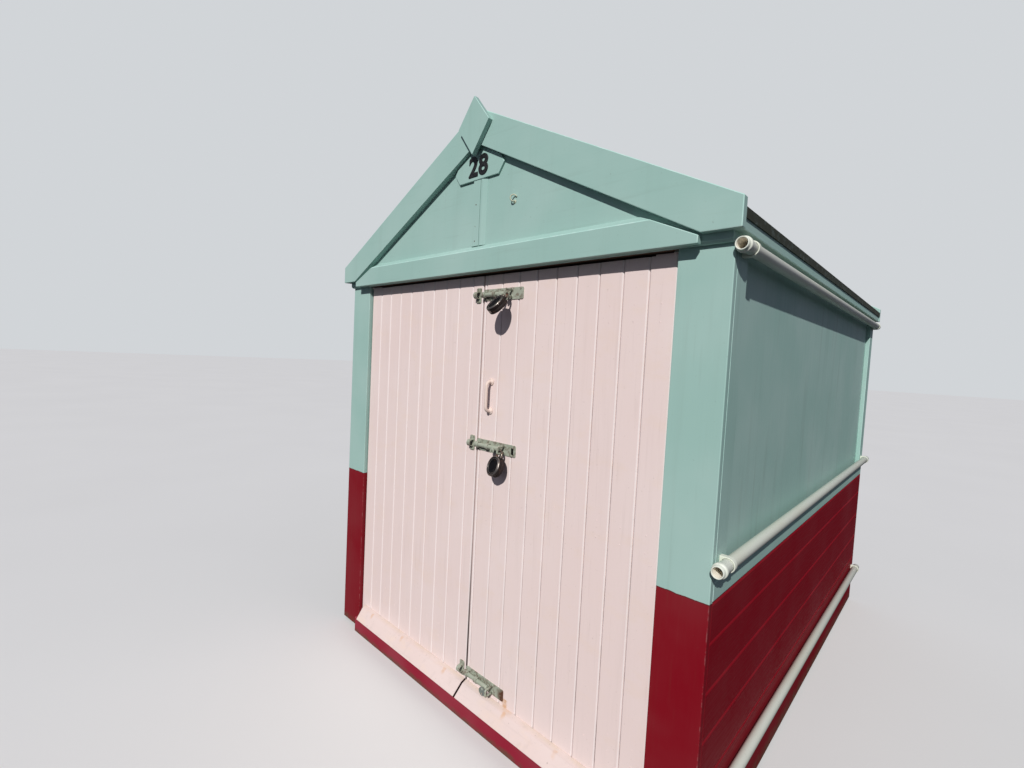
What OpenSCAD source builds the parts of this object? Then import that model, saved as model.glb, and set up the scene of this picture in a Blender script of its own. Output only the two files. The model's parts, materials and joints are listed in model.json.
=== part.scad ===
// Timber beach hut with a pair of boarded doors. Millimetres.
// The origin is on the ground at the centre of the plan. The doors face -Y, +Z is up.

/* [Overall] */
// Width over the boards at the corners
hut_w = 1830; // [1700:10:2300]
// Depth from the face of the boards beside the doors to the face of the back wall
hut_d = 2400; // [1800:20:3200]
// Slope of the roof in degrees
pitch = 27.3; // [24:0.1:30]
// Height of the underside of the gable, just over the doors
head_h = 1693; // [1600:1:1900]
// Rise of the bargeboards' top edges over that height, measured at the side walls
eave_rise = 112; // [106:1:160]
// Height where the lower cladding ends and the paint changes colour
waist_h = 788; // [640:4:900]

/* [Timber] */
// Thickness of the front boards beside the doors
board_t = 22; // [16:1:28]
// Width of the boards at the corners, front and back
board_w = 145; // [120:1:170]
// Width of the corner boards on the side walls
side_board_w = 74; // [50:1:110]
// Depth of the wall framing
frame_d = 45; // [38:1:60]
// Face width of a stud
stud_w = 45; // [38:1:60]
// Thickness of the sheet that skins the walls
sheet_t = 10; // [6:1:14]
// Thickness of the cladding and of the boards planted on the sheet
clad_t = 20; // [16:1:26]
// Height that one cladding board covers
course_h = 134; // [100:1:160]
// Height of the rail at the waist
rail_h = 62; // [45:1:90]

/* [Base] */
// Height of the bearers under the floor
bearer_h = 70; // [60:1:80]
// Width of a bearer
bearer_w = 75; // [50:1:100]
// Thickness of the floor boards
floor_t = 20; // [16:1:28]
// Thickness of the base board in front of the bearers
base_t = 22; // [16:1:28]
// Height of the lower edge of the corner boards and the cladding above the ground
skirt_gap = 12; // [5:1:30]

/* [Gable] */
// Thickness of the gable panel
gable_t = 18; // [12:1:24]
// Thickness of a bargeboard
barge_t = 25; // [20:1:32]
// Depth of a bargeboard, square to the slope
barge_w = 111; // [90:1:160]
// Height of the square end of a bargeboard
barge_end_h = 74; // [50:1:90]
// Height of the drip board over the doors
drip_h = 97; // [70:1:120]
// Thickness of the drip board
drip_t = 22; // [16:1:30]
// Drop of the slope planed along the drip board's top edge
drip_slope = 19; // [10:1:40]
// Distance from the drip board's ends to the hut's sides
drip_inset = 79; // [60:1:140]
// Width of the strip over the joint in the gable panel
strip_w = 70; // [30:1:80]
// Distance of the strip's middle right of the hut's centre
strip_x = 10; // [0:1:16]
// Thickness of that strip
strip_t = 6; // [4:1:10]
// Half width of the finial at its shoulders
finial_half_w = 80; // [50:1:110]
// Thickness of the finial
finial_t = 20; // [14:1:28]
// Half width of the number plate
plate_half_w = 130; // [100:1:150]
// Thickness of the number plate
plate_t = 9; // [6:1:12]

/* [Roof] */
// Thickness of the roof boards with their covering, square to the slope
roof_t = 22; // [18:1:30]
// Height that the bargeboards stand above the roof, square to the slope
verge_up = 20; // [10:1:30]
// Reach of the eaves beyond the side walls
eave_out = 26; // [20:1:40]
// Depth of a rafter, square to the slope
rafter_d = 60; // [50:1:90]
// Thickness of a rafter
rafter_t = 40; // [32:1:50]
// Number of pairs of rafters
rafter_n = 5; // [3:1:7]
// Width of a ridge capping board
cap_w = 85; // [60:1:110]
// Thickness of a ridge capping board
cap_t = 14; // [10:1:18]

/* [Doors] */
// Place of the joint between the leaves, right of the hut's centre
meet_x = 14; // [-60:1:60]
// Recess of the leaves behind the face of the boards beside them
door_inset = 15; // [10:1:15]
// Gap around each leaf
door_gap = 5; // [5:0.5:8]
// Thickness of the door boards
leaf_t = 20; // [16:1:28]
// Thickness of the ledges and braces behind the boards
ledge_t = 22; // [18:1:28]
// Width of a ledge
ledge_w = 110; // [80:1:140]
// Height of a weatherboard
weather_h = 60; // [50:1:62]
// Projection of a weatherboard
weather_out = 60; // [45:1:60]
// Inset of a weatherboard's outer corner from the hinge side
weather_inset = 50; // [50:1:60]
// Radius of the pivot pins that carry the leaves
pivot_r = 4; // [3:0.5:6]
// Height of the lower end of the pull handle
pull_z = 1188; // [1000:1:1250]
// Length of the pull handle
pull_l = 107; // [90:1:150]

/* [Bolts] */
// Height of the lowest bolt
bolt_low_z = 170; // [163:1:240]
// Height of the middle bolt
bolt_mid_z = 1058; // [900:1:1140]
// Drop of the top bolt below the head of the doors
bolt_drop = 80; // [50:1:140]
// Length of a bolt's back plate
plate_l = 200; // [190:1:240]
// Height of a bolt's back plate
plate_h = 42; // [40:1:54]
// Thickness of the back plates
steel_t = 3; // [2:0.5:4]
// Radius of a bolt's rod
rod_r = 8; // [7:0.5:9]
// Travel of a bolt into its keep
bolt_travel = 24; // [16:1:26]
// Diameter of a padlock's round body
lock_d = 74; // [55:1:80]
// Thickness of a padlock's body
lock_t = 27; // [18:1:28]

/* [Pipes] */
// Outer diameter of a pipe on the side wall
pipe_d = 34; // [28:1:40]
// Wall of a pipe
pipe_wall = 4.5; // [2:0.5:5]
// Outer diameter of the collars
collar_d = 40; // [38:1:50]
// Length of a collar
collar_l = 46; // [30:1:60]
// Distance of a collar behind the pipe's mouth
collar_back = 14; // [4:1:20]
// Height of the lowest pipe
pipe_low_z = 213; // [120:1:400]
// Height of the middle pipe above the waist
pipe_rise = 98; // [90:1:200]
// Drop of the top pipe below the eave
pipe_drop = 33; // [30:1:80]
// Reach of the pipes in front of the boards beside the doors
pipe_out = 22; // [2:1:30]

/* [Hidden] */
$fn = 48;
// Clearance between pieces that seat on each other but belong to different bodies
seat = 0.3;
// Running clearance of a pin or rod in its bore
run_fit = 0.08;
green = [0.60, 0.74, 0.68];
red = [0.48, 0.07, 0.12];
pink = [0.90, 0.81, 0.77];
bare_wood = [0.72, 0.58, 0.42];
felt = [0.50, 0.58, 0.56];
steel_paint = [0.62, 0.67, 0.60];
pvc = [0.88, 0.88, 0.82];

front_y = -hut_d / 2;
door_y = front_y + door_inset;
back_y = hut_d / 2;
half_w = hut_w / 2;
slope = tan(pitch);
cosp = cos(pitch);
apex_h = head_h + eave_rise + half_w * slope;
// Outer faces of the planted boards, the sheet and the frame on a side wall
sheet_x = half_w - clad_t;
frame_x = sheet_x - sheet_t;
post_x = frame_x - frame_d;
// The same on the back wall
sheet_y = back_y - clad_t;
frame_y = sheet_y - sheet_t;
opening_x = half_w - board_w;
floor_top = bearer_h + floor_t;
eave_x = half_w + eave_out;
wall_z0 = floor_top;
bearer_x = opening_x - bearer_w / 2 - 30;
// The base board's back face lies this far behind the face of the boards beside the doors
base_back = 2;
// Heights of the roof's lines over a point x off the centre
function barge_z(x) = apex_h - abs(x) * slope;
function roof_top_z(x) = barge_z(x) - verge_up / cosp;
function roof_under_z(x) = roof_top_z(x) - roof_t / cosp;
function rafter_under_z(x) = roof_under_z(x) - rafter_d / cosp;
birdsmouth = 20;
plate_z = rafter_under_z(frame_x) + birdsmouth;
eave_low_z = barge_z(eave_x) - barge_end_h;
roof_front_y = front_y - gable_t;

// Door leaves
leaf_z0 = bearer_h + 10;
leaf_z1 = head_h - 8;
leaf_back = leaf_t + ledge_t;
// The hinge axes stand this far inside a leaf's edge
axis_inset = 6;
left_axis_x = -opening_x + door_gap + axis_inset;
right_axis_x = -left_axis_x;
left_edges = [-opening_x + door_gap, meet_x - door_gap / 2];
right_edges = [meet_x + door_gap / 2, opening_x - door_gap];
lug_t = 4;
lug_r = pivot_r + 3;
lug_l = 60;
ledge_margin = 60;
ledge_low = 120;
ledge_top = 100;
weather_z0 = bearer_h + 5;

// Bolts: local x runs right from the edge of the right leaf
bolt_x0 = right_edges[0];
bolt_z = [bolt_low_z, bolt_mid_z, head_h - bolt_drop];
plate_inset = 1;
plate_corner = 6;
rod_out = steel_t + rod_r + 1;
rod_x = [2, 128];
guide_r = rod_r + run_fit + 3;
guide_xs = [[4, 24], [62, 76]];
staple_x = 146;
staple_t = 6;
staple_half = 16;
staple_out = 43;
staple_bar = 8;
keep_x = [-38, -12];
keep_h = 57;
keep_margin = 4;
keep_loop_r = rod_r + 2;
// The rods' pegs, and the eyes that hang on them
peg_r = 4;
peg_z = -3;
peg_xs = [117, 108, 108];
eye_rs = [16, 10, 10];
eye_t = 3;
eye_out = rod_out + guide_r + 2;

// Pipes
pipe_x = half_w + collar_d / 2 + 0.5;
pipe_z = [pipe_low_z, waist_h + pipe_rise, eave_low_z - pipe_drop];
pipe_y0 = front_y - pipe_out;
pipe_y1 = back_y - 10;
clip_gap = 8;
clip_front_y = pipe_y0 + collar_back + collar_l + clip_gap;
clip_back = 40;
clip_w = 16;
clip_t = 3;

// A bar between the ground frame's points, drawn as a box from corner to corner
module block(x, y, z) {
    translate([x[0], y[0], z[0]])
        cube([x[1] - x[0], y[1] - y[0], z[1] - z[0]]);
}

// An outline in X and Z, given a thickness from y0 to y1
module plate_xz(points, y0, y1) {
    translate([0, y1, 0])
        rotate([90, 0, 0])
            linear_extrude(height = y1 - y0)
                polygon(points);
}

// An outline in Y and Z, given a thickness from x0 to x1
module plate_yz(points, x0, x1) {
    translate([x0, 0, 0])
        rotate([90, 0, 90])
            linear_extrude(height = x1 - x0)
                polygon(points);
}

module flip_x() {
    mirror([1, 0, 0])
        children();
}

// Base
module bearers() {
    sill_d = 45;
    color(bare_wood)
        union() {
            for (x = [-bearer_x, 0, bearer_x])
                block([x - bearer_w / 2, x + bearer_w / 2],
                      [front_y + base_back, frame_y], [0, bearer_h]);
            // A sill behind the base board carries the pins at the foot of the doors
            block([-opening_x, opening_x],
                  [front_y + base_back, front_y + base_back + sill_d], [0, bearer_h]);
        }
}

module floor_slab() {
    color(bare_wood)
        block([-frame_x, frame_x], [door_y + leaf_back + door_gap, frame_y],
              [bearer_h, floor_top]);
}

module base_board() {
    color(red)
        block([-opening_x, opening_x], [front_y + base_back - base_t, front_y + base_back],
              [0, bearer_h]);
}

// A board at the corner, cut to the roof's slope at its top
module corner_board(y0, y1) {
    plate_xz([
        [opening_x, skirt_gap],
        [half_w, skirt_gap],
        [half_w, roof_under_z(half_w)],
        [opening_x, roof_under_z(opening_x)],
    ], y0, y1);
}

module front_board_right() {
    color(green)
        corner_board(front_y, front_y + board_t);
}

module front_board_left() {
    flip_x()
        front_board_right();
}

module back_boards() {
    color(green)
        for (side = [0, 1])
            mirror([side, 0, 0])
                corner_board(sheet_y, back_y);
}

// Side walls, drawn on the right
module corner_boards_right() {
    color(green)
        for (y = [front_y + board_t, sheet_y - side_board_w])
            block([sheet_x, half_w], [y, y + side_board_w],
                  [waist_h + rail_h, roof_under_z(half_w)]);
}

module side_sheet_right() {
    color(green)
        plate_xz([
            [frame_x, skirt_gap],
            [sheet_x, skirt_gap],
            [sheet_x, roof_under_z(sheet_x)],
            [frame_x, roof_under_z(frame_x)],
        ], front_y + board_t, sheet_y);
}

// A rail with a sloped top, from the sheet out to the face
module rail_profile(face, thick) {
    polygon([
        [face - thick, waist_h],
        [face, waist_h],
        [face, waist_h + rail_h - 12],
        [face - thick, waist_h + rail_h],
    ]);
}

module waist_rail_right() {
    color(green)
        translate([0, sheet_y, 0])
            rotate([90, 0, 0])
                linear_extrude(height = sheet_y - front_y - board_t)
                    rail_profile(half_w, clad_t);
}

// Shiplap: each board has a flat face and a hollow cut along its top edge
module shiplap_profile(face, thick) {
    hollow = 11;
    difference() {
        translate([face - thick, skirt_gap])
            square([thick, waist_h - skirt_gap]);
        for (z = [skirt_gap + course_h : course_h : waist_h - hollow])
            translate([face, z])
                rotate(45)
                    square(hollow, center = true);
    }
}

module lower_cladding_right() {
    color(red)
        translate([0, sheet_y, 0])
            rotate([90, 0, 0])
                linear_extrude(height = sheet_y - front_y - board_t)
                    shiplap_profile(half_w, clad_t);
}

module side_frame_right() {
    y0 = front_y + board_t;
    y1 = frame_y;
    color(bare_wood)
        union() {
            // Door post behind the front board, and the post at the back corner
            block([opening_x, frame_x], [y0, y0 + frame_d], [wall_z0, plate_z]);
            block([post_x, frame_x], [y1 - stud_w, y1], [wall_z0, plate_z]);
            block([post_x, frame_x], [y0, y1], [wall_z0, wall_z0 + stud_w]);
            block([post_x, frame_x], [y0, y1], [plate_z - stud_w, plate_z]);
            block([post_x, frame_x], [y0, y1], [waist_h, waist_h + stud_w]);
            for (i = [1, 2]) {
                y = y0 + (y1 - y0) * i / 3;
                block([post_x, frame_x], [y - stud_w / 2, y + stud_w / 2], [wall_z0, plate_z]);
            }
        }
}

// Back wall
module back_sheet() {
    color(green)
        plate_xz([
            [-frame_x, skirt_gap],
            [frame_x, skirt_gap],
            [frame_x, roof_under_z(frame_x)],
            [0, roof_under_z(0)],
            [-frame_x, roof_under_z(frame_x)],
        ], frame_y, sheet_y);
}

module waist_rail_back() {
    color(green)
        translate([-opening_x, 0, 0])
            rotate([90, 0, 90])
                linear_extrude(height = 2 * opening_x)
                    rail_profile(back_y, clad_t);
}

module lower_cladding_back() {
    color(red)
        translate([-opening_x, 0, 0])
            rotate([90, 0, 90])
                linear_extrude(height = 2 * opening_x)
                    shiplap_profile(back_y, clad_t);
}

module back_frame() {
    y = [frame_y - frame_d, frame_y];
    color(bare_wood)
        union() {
            for (z = [wall_z0, waist_h, plate_z - stud_w])
                block([-post_x, post_x], y, [z, z + stud_w]);
            for (x = [-post_x / 3, post_x / 3])
                block([x - stud_w / 2, x + stud_w / 2], y, [wall_z0, plate_z]);
        }
}

module head_beam() {
    top_z = rafter_under_z(opening_x) - 1;
    color(bare_wood)
        block([-opening_x, opening_x], [front_y, front_y + board_t + frame_d], [head_h, top_z]);
}

// Gable
module gable_panel() {
    color(green)
        plate_xz([
            [-half_w, head_h],
            [half_w, head_h],
            [half_w, roof_under_z(half_w)],
            [0, roof_under_z(0)],
            [-half_w, roof_under_z(half_w)],
        ], front_y - gable_t, front_y);
}

barge_low_z0 = apex_h - barge_w / cosp;

module gable_strip() {
    color(green)
        block([strip_x - strip_w / 2, strip_x + strip_w / 2], [roof_front_y - strip_t, roof_front_y],
              [head_h + drip_h, plate_low_z]);
}

// The drip board has a sloped top and ends cut along the bargeboards
drip_gap = 22;
drip_end_h = 20;
drip_half_w = half_w - drip_inset;
drip_top_half_w = (barge_low_z0 - drip_gap - head_h - drip_h) / slope;
module drip_board() {
    intersection() {
        color(green)
            plate_xz([
                [-drip_half_w, head_h],
                [drip_half_w, head_h],
                [drip_half_w, head_h + drip_end_h],
                [drip_top_half_w, head_h + drip_h],
                [-drip_top_half_w, head_h + drip_h],
                [-drip_half_w, head_h + drip_end_h],
            ], roof_front_y - drip_t, roof_front_y);
        color(green)
            plate_yz([
                [roof_front_y - drip_t, head_h],
                [roof_front_y, head_h],
                [roof_front_y, head_h + drip_h],
                [roof_front_y - drip_t, head_h + drip_h - drip_slope],
            ], -drip_half_w, drip_half_w);
    }
}

// The number plate: a hexagon whose upper edges lie under the bargeboards
plate_low_z = apex_h - 249;
plate_mid_z = plate_low_z + 38;
plate_low_cut = 27;
plate_top_cut = 20;
module number_plate() {
    top_x = plate_half_w - plate_top_cut;
    low_x = plate_half_w - plate_low_cut;
    top_z = barge_low_z0 - 1;
    color(green)
        plate_xz([
            [-low_x, plate_low_z],
            [low_x, plate_low_z],
            [plate_half_w, plate_mid_z],
            [top_x, top_z - top_x * slope],
            [0, top_z],
            [-top_x, top_z - top_x * slope],
            [-plate_half_w, plate_mid_z],
        ], roof_front_y - plate_t, roof_front_y);
}

module bargeboard(y0, y1) {
    low_x = (barge_low_z0 - eave_low_z) / slope;
    plate_xz([
        [0, barge_low_z0],
        [low_x, eave_low_z],
        [eave_x, eave_low_z],
        [eave_x, barge_z(eave_x)],
        [0, apex_h],
    ], y0, y1);
}

module bargeboard_front_right() {
    color(green)
        bargeboard(roof_front_y - barge_t, roof_front_y);
}

module bargeboard_back_right() {
    color(green)
        bargeboard(back_y, back_y + barge_t);
}

finial_tip = 34;
finial_shoulder = 66;
finial_low = 172;
module finial() {
    color(green)
        plate_xz([
            [0, apex_h + finial_tip],
            [finial_half_w, apex_h - finial_shoulder],
            [0, apex_h - finial_low],
            [-finial_half_w, apex_h - finial_shoulder],
        ], roof_front_y - barge_t - finial_t, roof_front_y - barge_t);
}

// Roof
module roof_right() {
    color(felt)
        plate_xz([
            [0, roof_under_z(0)],
            [eave_x, roof_under_z(eave_x)],
            [eave_x, roof_top_z(eave_x)],
            [0, roof_top_z(0)],
        ], roof_front_y, back_y);
}

// The cap's underside lies this far above the roof
cap_seat = 0.03;
module ridge_cap() {
    run = cap_w * cosp;
    low_z = roof_top_z(run) + cap_seat;
    peak_z = roof_top_z(0) + cap_seat;
    color(green)
        plate_xz([
            [0, peak_z],
            [run, low_z],
            [run + cap_t * sin(pitch), low_z + cap_t * cosp],
            [0, peak_z + cap_t / cosp],
            [-run - cap_t * sin(pitch), low_z + cap_t * cosp],
            [-run, low_z],
        ], roof_front_y, back_y);
}

module rafter_pair(y0, y1) {
    for (side = [0, 1])
        mirror([side, 0, 0])
            plate_xz([
                [0, roof_under_z(0)],
                [0, rafter_under_z(0)],
                [(rafter_under_z(0) - plate_z) / slope, plate_z],
                [frame_x, plate_z],
                [frame_x, roof_under_z(frame_x)],
            ], y0, y1);
}

module roof_frame() {
    y_first = front_y + board_t;
    y_last = frame_y - rafter_t;
    ridge_t = 30;
    color(bare_wood)
        union() {
            for (i = [0 : rafter_n - 1]) {
                y = y_first + (y_last - y_first) * i / (rafter_n - 1);
                rafter_pair(y, y + rafter_t);
            }
            block([-ridge_t / 2, ridge_t / 2], [y_first, frame_y],
                  [rafter_under_z(0) - 30, roof_under_z(ridge_t / 2)]);
        }
}

module eave_boards() {
    eave_t = 22;
    color(green)
        for (side = [0, 1])
            mirror([side, 0, 0])
                plate_xz([
                    [half_w, eave_low_z],
                    [half_w + eave_t, eave_low_z],
                    [half_w + eave_t, roof_under_z(half_w + eave_t)],
                    [half_w, roof_under_z(half_w)],
                ], roof_front_y, back_y);
}

// Doors. A leaf turns on a pin at its head and one at its foot, in line with its face.
module pivot_lug(x, z, toward) {
    difference() {
        union() {
            translate([x, door_y, z])
                cylinder(h = lug_t, r = lug_r);
            block([min(x, x + toward * lug_l), max(x, x + toward * lug_l)],
                  [door_y, door_y + leaf_t], [z, z + lug_t]);
        }
        translate([x, door_y, z - 1])
            cylinder(h = lug_t + 2, r = pivot_r + run_fit);
    }
}

module leaf(edges, axis_x, toward) {
    y_boards = [door_y, door_y + leaf_t];
    y_ledges = [door_y + leaf_t, door_y + leaf_back];
    lx = [edges[0] + ledge_margin, edges[1] - ledge_margin];
    ledge_mid_z = (leaf_z0 + leaf_z1 - ledge_w) / 2;
    ledge_zs = [leaf_z0 + ledge_low, ledge_mid_z, leaf_z1 - ledge_top - ledge_w];
    hx = toward > 0 ? lx[0] : lx[1];
    mx = toward > 0 ? lx[1] : lx[0];
    color(pink)
        union() {
            block(edges, y_boards, [leaf_z0, leaf_z1]);
            for (z = ledge_zs)
                block(lx, y_ledges, [z, z + ledge_w]);
            // Braces rise from the hinge side
            for (i = [0, 1])
                plate_xz([
                    [hx, ledge_zs[i] + ledge_w],
                    [hx + toward * ledge_w, ledge_zs[i] + ledge_w],
                    [mx, ledge_zs[i + 1]],
                    [mx - toward * ledge_w, ledge_zs[i + 1]],
                ], y_ledges[0], y_ledges[1]);
            pivot_lug(axis_x, leaf_z0 - lug_t, toward);
            pivot_lug(axis_x, leaf_z1, toward);
        }
}

module door_left() {
    leaf(left_edges, left_axis_x, 1);
}

module door_right() {
    leaf(right_edges, right_axis_x, -1);
}

module door_pivots() {
    collar_r = pivot_r + 2.5;
    foot_top = leaf_z0 - lug_t - seat;
    head_low = leaf_z1 + lug_t + seat;
    color("silver")
        for (x = [left_axis_x, right_axis_x])
            translate([x, door_y, 0]) {
                // Foot: a collar on the sill under the lug, and the pin through it
                translate([0, 0, bearer_h])
                    cylinder(h = foot_top - bearer_h, r = collar_r);
                translate([0, 0, bearer_h])
                    cylinder(h = leaf_z0 - seat - bearer_h, r = pivot_r);
                // Head: a pin let down from the beam, with its collar over the lug
                translate([0, 0, leaf_z1 + seat])
                    cylinder(h = head_h - leaf_z1 - seat, r = pivot_r);
                translate([0, 0, head_low])
                    cylinder(h = head_h - head_low, r = collar_r);
            }
}

// The weatherboard sheds water over the base board. Its hinge end is cut back on a slope
// in plan, so that the open leaf clears the board beside the doors.
weather_face_inset = 28;
module weatherboard(edges, toward) {
    z0 = weather_z0;
    z1 = weather_z0 + weather_h;
    profile = [
        [door_y, z0],
        [door_y, z1],
        [door_y - weather_out / 3, z1 - 8],
        [door_y - weather_out, z0 + 14],
        [door_y - weather_out, z0],
    ];
    hinge = toward > 0 ? edges[0] : edges[1];
    meet = toward > 0 ? edges[1] : edges[0];
    color(pink)
        intersection() {
            plate_yz(profile, edges[0], edges[1]);
            translate([0, 0, z0])
                linear_extrude(height = weather_h)
                    polygon([
                        [hinge + toward * weather_face_inset, door_y],
                        [meet, door_y],
                        [meet, door_y - weather_out],
                        [hinge + toward * weather_inset, door_y - weather_out],
                    ]);
        }
}

module weatherboard_left() {
    weatherboard(left_edges, 1);
}

module weatherboard_right() {
    weatherboard(right_edges, -1);
}

pull_inset = 62;
pull_x = bolt_x0 + pull_inset;
pull_r = 6;
pull_out = 25;
module pull_handle() {
    // A bow of round bar with a flat foot at each end
    bend = 16;
    color(pink)
        translate([pull_x, door_y, pull_z])
            union() {
                for (z = [0, pull_l]) {
                    translate([0, -pull_out + bend, z])
                        rotate([-90, 0, 0])
                            cylinder(h = pull_out - bend, r = pull_r);
                    translate([0, -4, z])
                        rotate([-90, 0, 0])
                            cylinder(h = 4, r = 13);
                }
                translate([0, -pull_out, bend])
                    cylinder(h = pull_l - 2 * bend, r = pull_r);
                translate([0, -pull_out + bend, bend])
                    rotate([0, 90, 0])
                        rotate([0, 0, -90])
                            rotate_extrude(angle = 90)
                                translate([bend, 0])
                                    circle(r = pull_r);
                translate([0, -pull_out + bend, pull_l - bend])
                    rotate([0, 90, 0])
                        rotate([0, 0, 180])
                            rotate_extrude(angle = 90)
                                translate([bend, 0])
                                    circle(r = pull_r);
            }
}

// Bolts. Everything is drawn from the edge of the right leaf at the bolt's height.
module at_bolt(z) {
    translate([bolt_x0, door_y, z])
        children();
}

module along_x(x0, x1, out, r) {
    translate([x0, -out, 0])
        rotate([0, 90, 0])
            cylinder(h = x1 - x0, r = r);
}

// A plate on the door's face with rounded corners
module face_plate(x, h, r, t) {
    rotate([90, 0, 0])
        linear_extrude(height = t)
            union() {
                translate([x[0] + r, -h / 2])
                    square([x[1] - x[0] - 2 * r, h]);
                translate([x[0], -h / 2 + r])
                    square([x[1] - x[0], h - 2 * r]);
                for (cx = [x[0] + r, x[1] - r], cz = [-h / 2 + r, h / 2 - r])
                    translate([cx, cz])
                        circle(r = r);
            }
}

// An eye that stands on the plate, for the padlock's shackle
module staple() {
    difference() {
        block([staple_x - staple_t / 2, staple_x + staple_t / 2],
              [-staple_out, -steel_t], [-staple_half, staple_half]);
        block([staple_x - staple_t, staple_x + staple_t],
              [staple_bar - staple_out, -steel_t - staple_bar],
              [staple_bar - staple_half, staple_half - staple_bar]);
    }
}

// A strap bent over the rod, down to the plate
module strap(x, out_r) {
    along_x(x[0], x[1], rod_out, out_r);
    block(x, [-rod_out, -steel_t], [-out_r, out_r]);
}

module bolt_housing() {
    difference() {
        union() {
            face_plate([plate_inset, plate_l], plate_h, plate_corner, steel_t);
            for (x = guide_xs)
                strap(x, guide_r);
            staple();
        }
        along_x(0, guide_xs[1][1] + 1, rod_out, rod_r + run_fit);
    }
}

module bolt_housings() {
    color(steel_paint)
        for (z = bolt_z)
            at_bolt(z)
                bolt_housing();
}

// A rod with a peg on its face and a flat eye that hangs on the peg
module bolt_rod(peg_x, eye_r) {
    drop = eye_r - peg_r - 3;
    color(steel_paint)
        union() {
            along_x(rod_x[0], rod_x[1], rod_out, rod_r);
            translate([peg_x, -eye_out - eye_t, peg_z])
                rotate([-90, 0, 0])
                    cylinder(h = eye_out + eye_t - rod_out, r = peg_r);
            translate([peg_x, -eye_out - eye_t, peg_z - drop])
                rotate([-90, 0, 0])
                    difference() {
                        cylinder(h = eye_t, r = eye_r);
                        translate([0, -drop - eye_r / 4, -1])
                            cylinder(h = eye_t + 2, r = eye_r / 3);
                    }
        }
}

module bolt_bottom() {
    at_bolt(bolt_z[0])
        bolt_rod(peg_xs[0], eye_rs[0]);
}

module bolt_middle() {
    at_bolt(bolt_z[1])
        bolt_rod(peg_xs[1], eye_rs[1]);
}

module bolt_top() {
    at_bolt(bolt_z[2])
        bolt_rod(peg_xs[2], eye_rs[2]);
}

// The keep is a strap bent over the rod, with a foot above and below it
module bolt_keep() {
    loop_x = [keep_x[0] + keep_margin, keep_x[1] - keep_margin];
    difference() {
        union() {
            face_plate(keep_x, keep_h, plate_corner, steel_t);
            strap(loop_x, keep_loop_r + 3);
        }
        along_x(keep_x[0] - 1, keep_x[1] + 1, rod_out, keep_loop_r);
        // Trim the loop level with the door's face
        block(keep_x, [0, rod_out], [-keep_h, keep_h]);
    }
}

module bolt_keeps() {
    color(steel_paint)
        for (z = bolt_z)
            at_bolt(z)
                bolt_keep();
}

// Padlock with a round body. Drawn hanging, its shackle's crown at the origin.
shackle_r = 4;
shackle_bow = 14;
shackle_leg = 18;
module padlock() {
    legs_z = -shackle_bow - shackle_leg;
    color([0.16, 0.14, 0.14])
        union() {
            translate([0, lock_t / 2, legs_z + 12 - lock_d / 2])
                rotate([90, 0, 0])
                    cylinder(h = lock_t, r = lock_d / 2);
            translate([0, 0, -shackle_bow])
                rotate([90, 0, 0])
                    rotate_extrude(angle = 180)
                        translate([shackle_bow, 0])
                            circle(r = shackle_r);
            for (x = [-shackle_bow, shackle_bow])
                translate([x, 0, legs_z])
                    cylinder(h = shackle_leg, r = shackle_r);
        }
}

// The crown hangs this far out from the door, and the body swings out and turns
module hang_padlock(z, out, swing, turn) {
    seat_z = -staple_half + staple_bar + shackle_r + seat;
    at_bolt(z)
        translate([staple_x, -out, seat_z])
            rotate([swing, 0, turn])
                padlock();
}

module padlock_middle() {
    hang_padlock(bolt_z[1], 20, -20, -14);
}

module padlock_top() {
    hang_padlock(bolt_z[2], 29, -42, -16);
}

// Pipes along the right wall
module pipe(z) {
    color(pvc)
        translate([pipe_x, 0, z])
            rotate([-90, 0, 0])
                difference() {
                    union() {
                        translate([0, 0, pipe_y0])
                            cylinder(h = pipe_y1 - pipe_y0, r = pipe_d / 2);
                        translate([0, 0, pipe_y0 + collar_back])
                            cylinder(h = collar_l, r = collar_d / 2);
                    }
                    translate([0, 0, pipe_y0 - 1])
                        cylinder(h = pipe_y1 - pipe_y0 + 2, r = pipe_d / 2 - pipe_wall);
                }
}

module pipe_bottom() {
    pipe(pipe_z[0]);
}

module pipe_middle() {
    pipe(pipe_z[1]);
}

module pipe_top() {
    pipe(pipe_z[2]);
}

module pipe_clip(y, z) {
    translate([pipe_x, y, z])
        rotate([-90, 0, 0])
            difference() {
                union() {
                    cylinder(h = clip_w, r = pipe_d / 2 + clip_t);
                    translate([half_w - pipe_x, -pipe_d / 2 - clip_t, 0])
                        cube([pipe_x - half_w, pipe_d + 2 * clip_t, clip_w]);
                }
                translate([0, 0, -1])
                    cylinder(h = clip_w + 2, r = pipe_d / 2);
            }
}

module pipe_clips() {
    color(pvc)
        for (z = pipe_z)
            for (y = [clip_front_y, pipe_y1 - clip_w - clip_back])
                pipe_clip(y, z);
}

bearers();
floor_slab();  // floor
base_board();
front_board_left();
front_board_right();
back_boards();
flip_x() corner_boards_right();  // corner_boards_left
corner_boards_right();
flip_x() side_sheet_right();  // side_sheet_left
side_sheet_right();
back_sheet();
flip_x() waist_rail_right();  // waist_rail_left
waist_rail_right();
waist_rail_back();
flip_x() lower_cladding_right();  // lower_cladding_left
lower_cladding_right();
lower_cladding_back();
flip_x() side_frame_right();  // side_frame_left
side_frame_right();
back_frame();
head_beam();
gable_panel();
gable_strip();
drip_board();
number_plate();
finial();
flip_x() bargeboard_front_right();  // bargeboard_front_left
bargeboard_front_right();
flip_x() bargeboard_back_right();  // bargeboard_back_left
bargeboard_back_right();
flip_x() roof_right();  // roof_left
roof_right();
ridge_cap();
roof_frame();
eave_boards();
door_pivots();
door_left();
door_right();
weatherboard_left();
weatherboard_right();
pull_handle();
bolt_housings();
bolt_keeps();
bolt_bottom();
bolt_middle();
bolt_top();
padlock_middle();
padlock_top();
pipe_bottom();
pipe_middle();
pipe_top();
pipe_clips();
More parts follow.
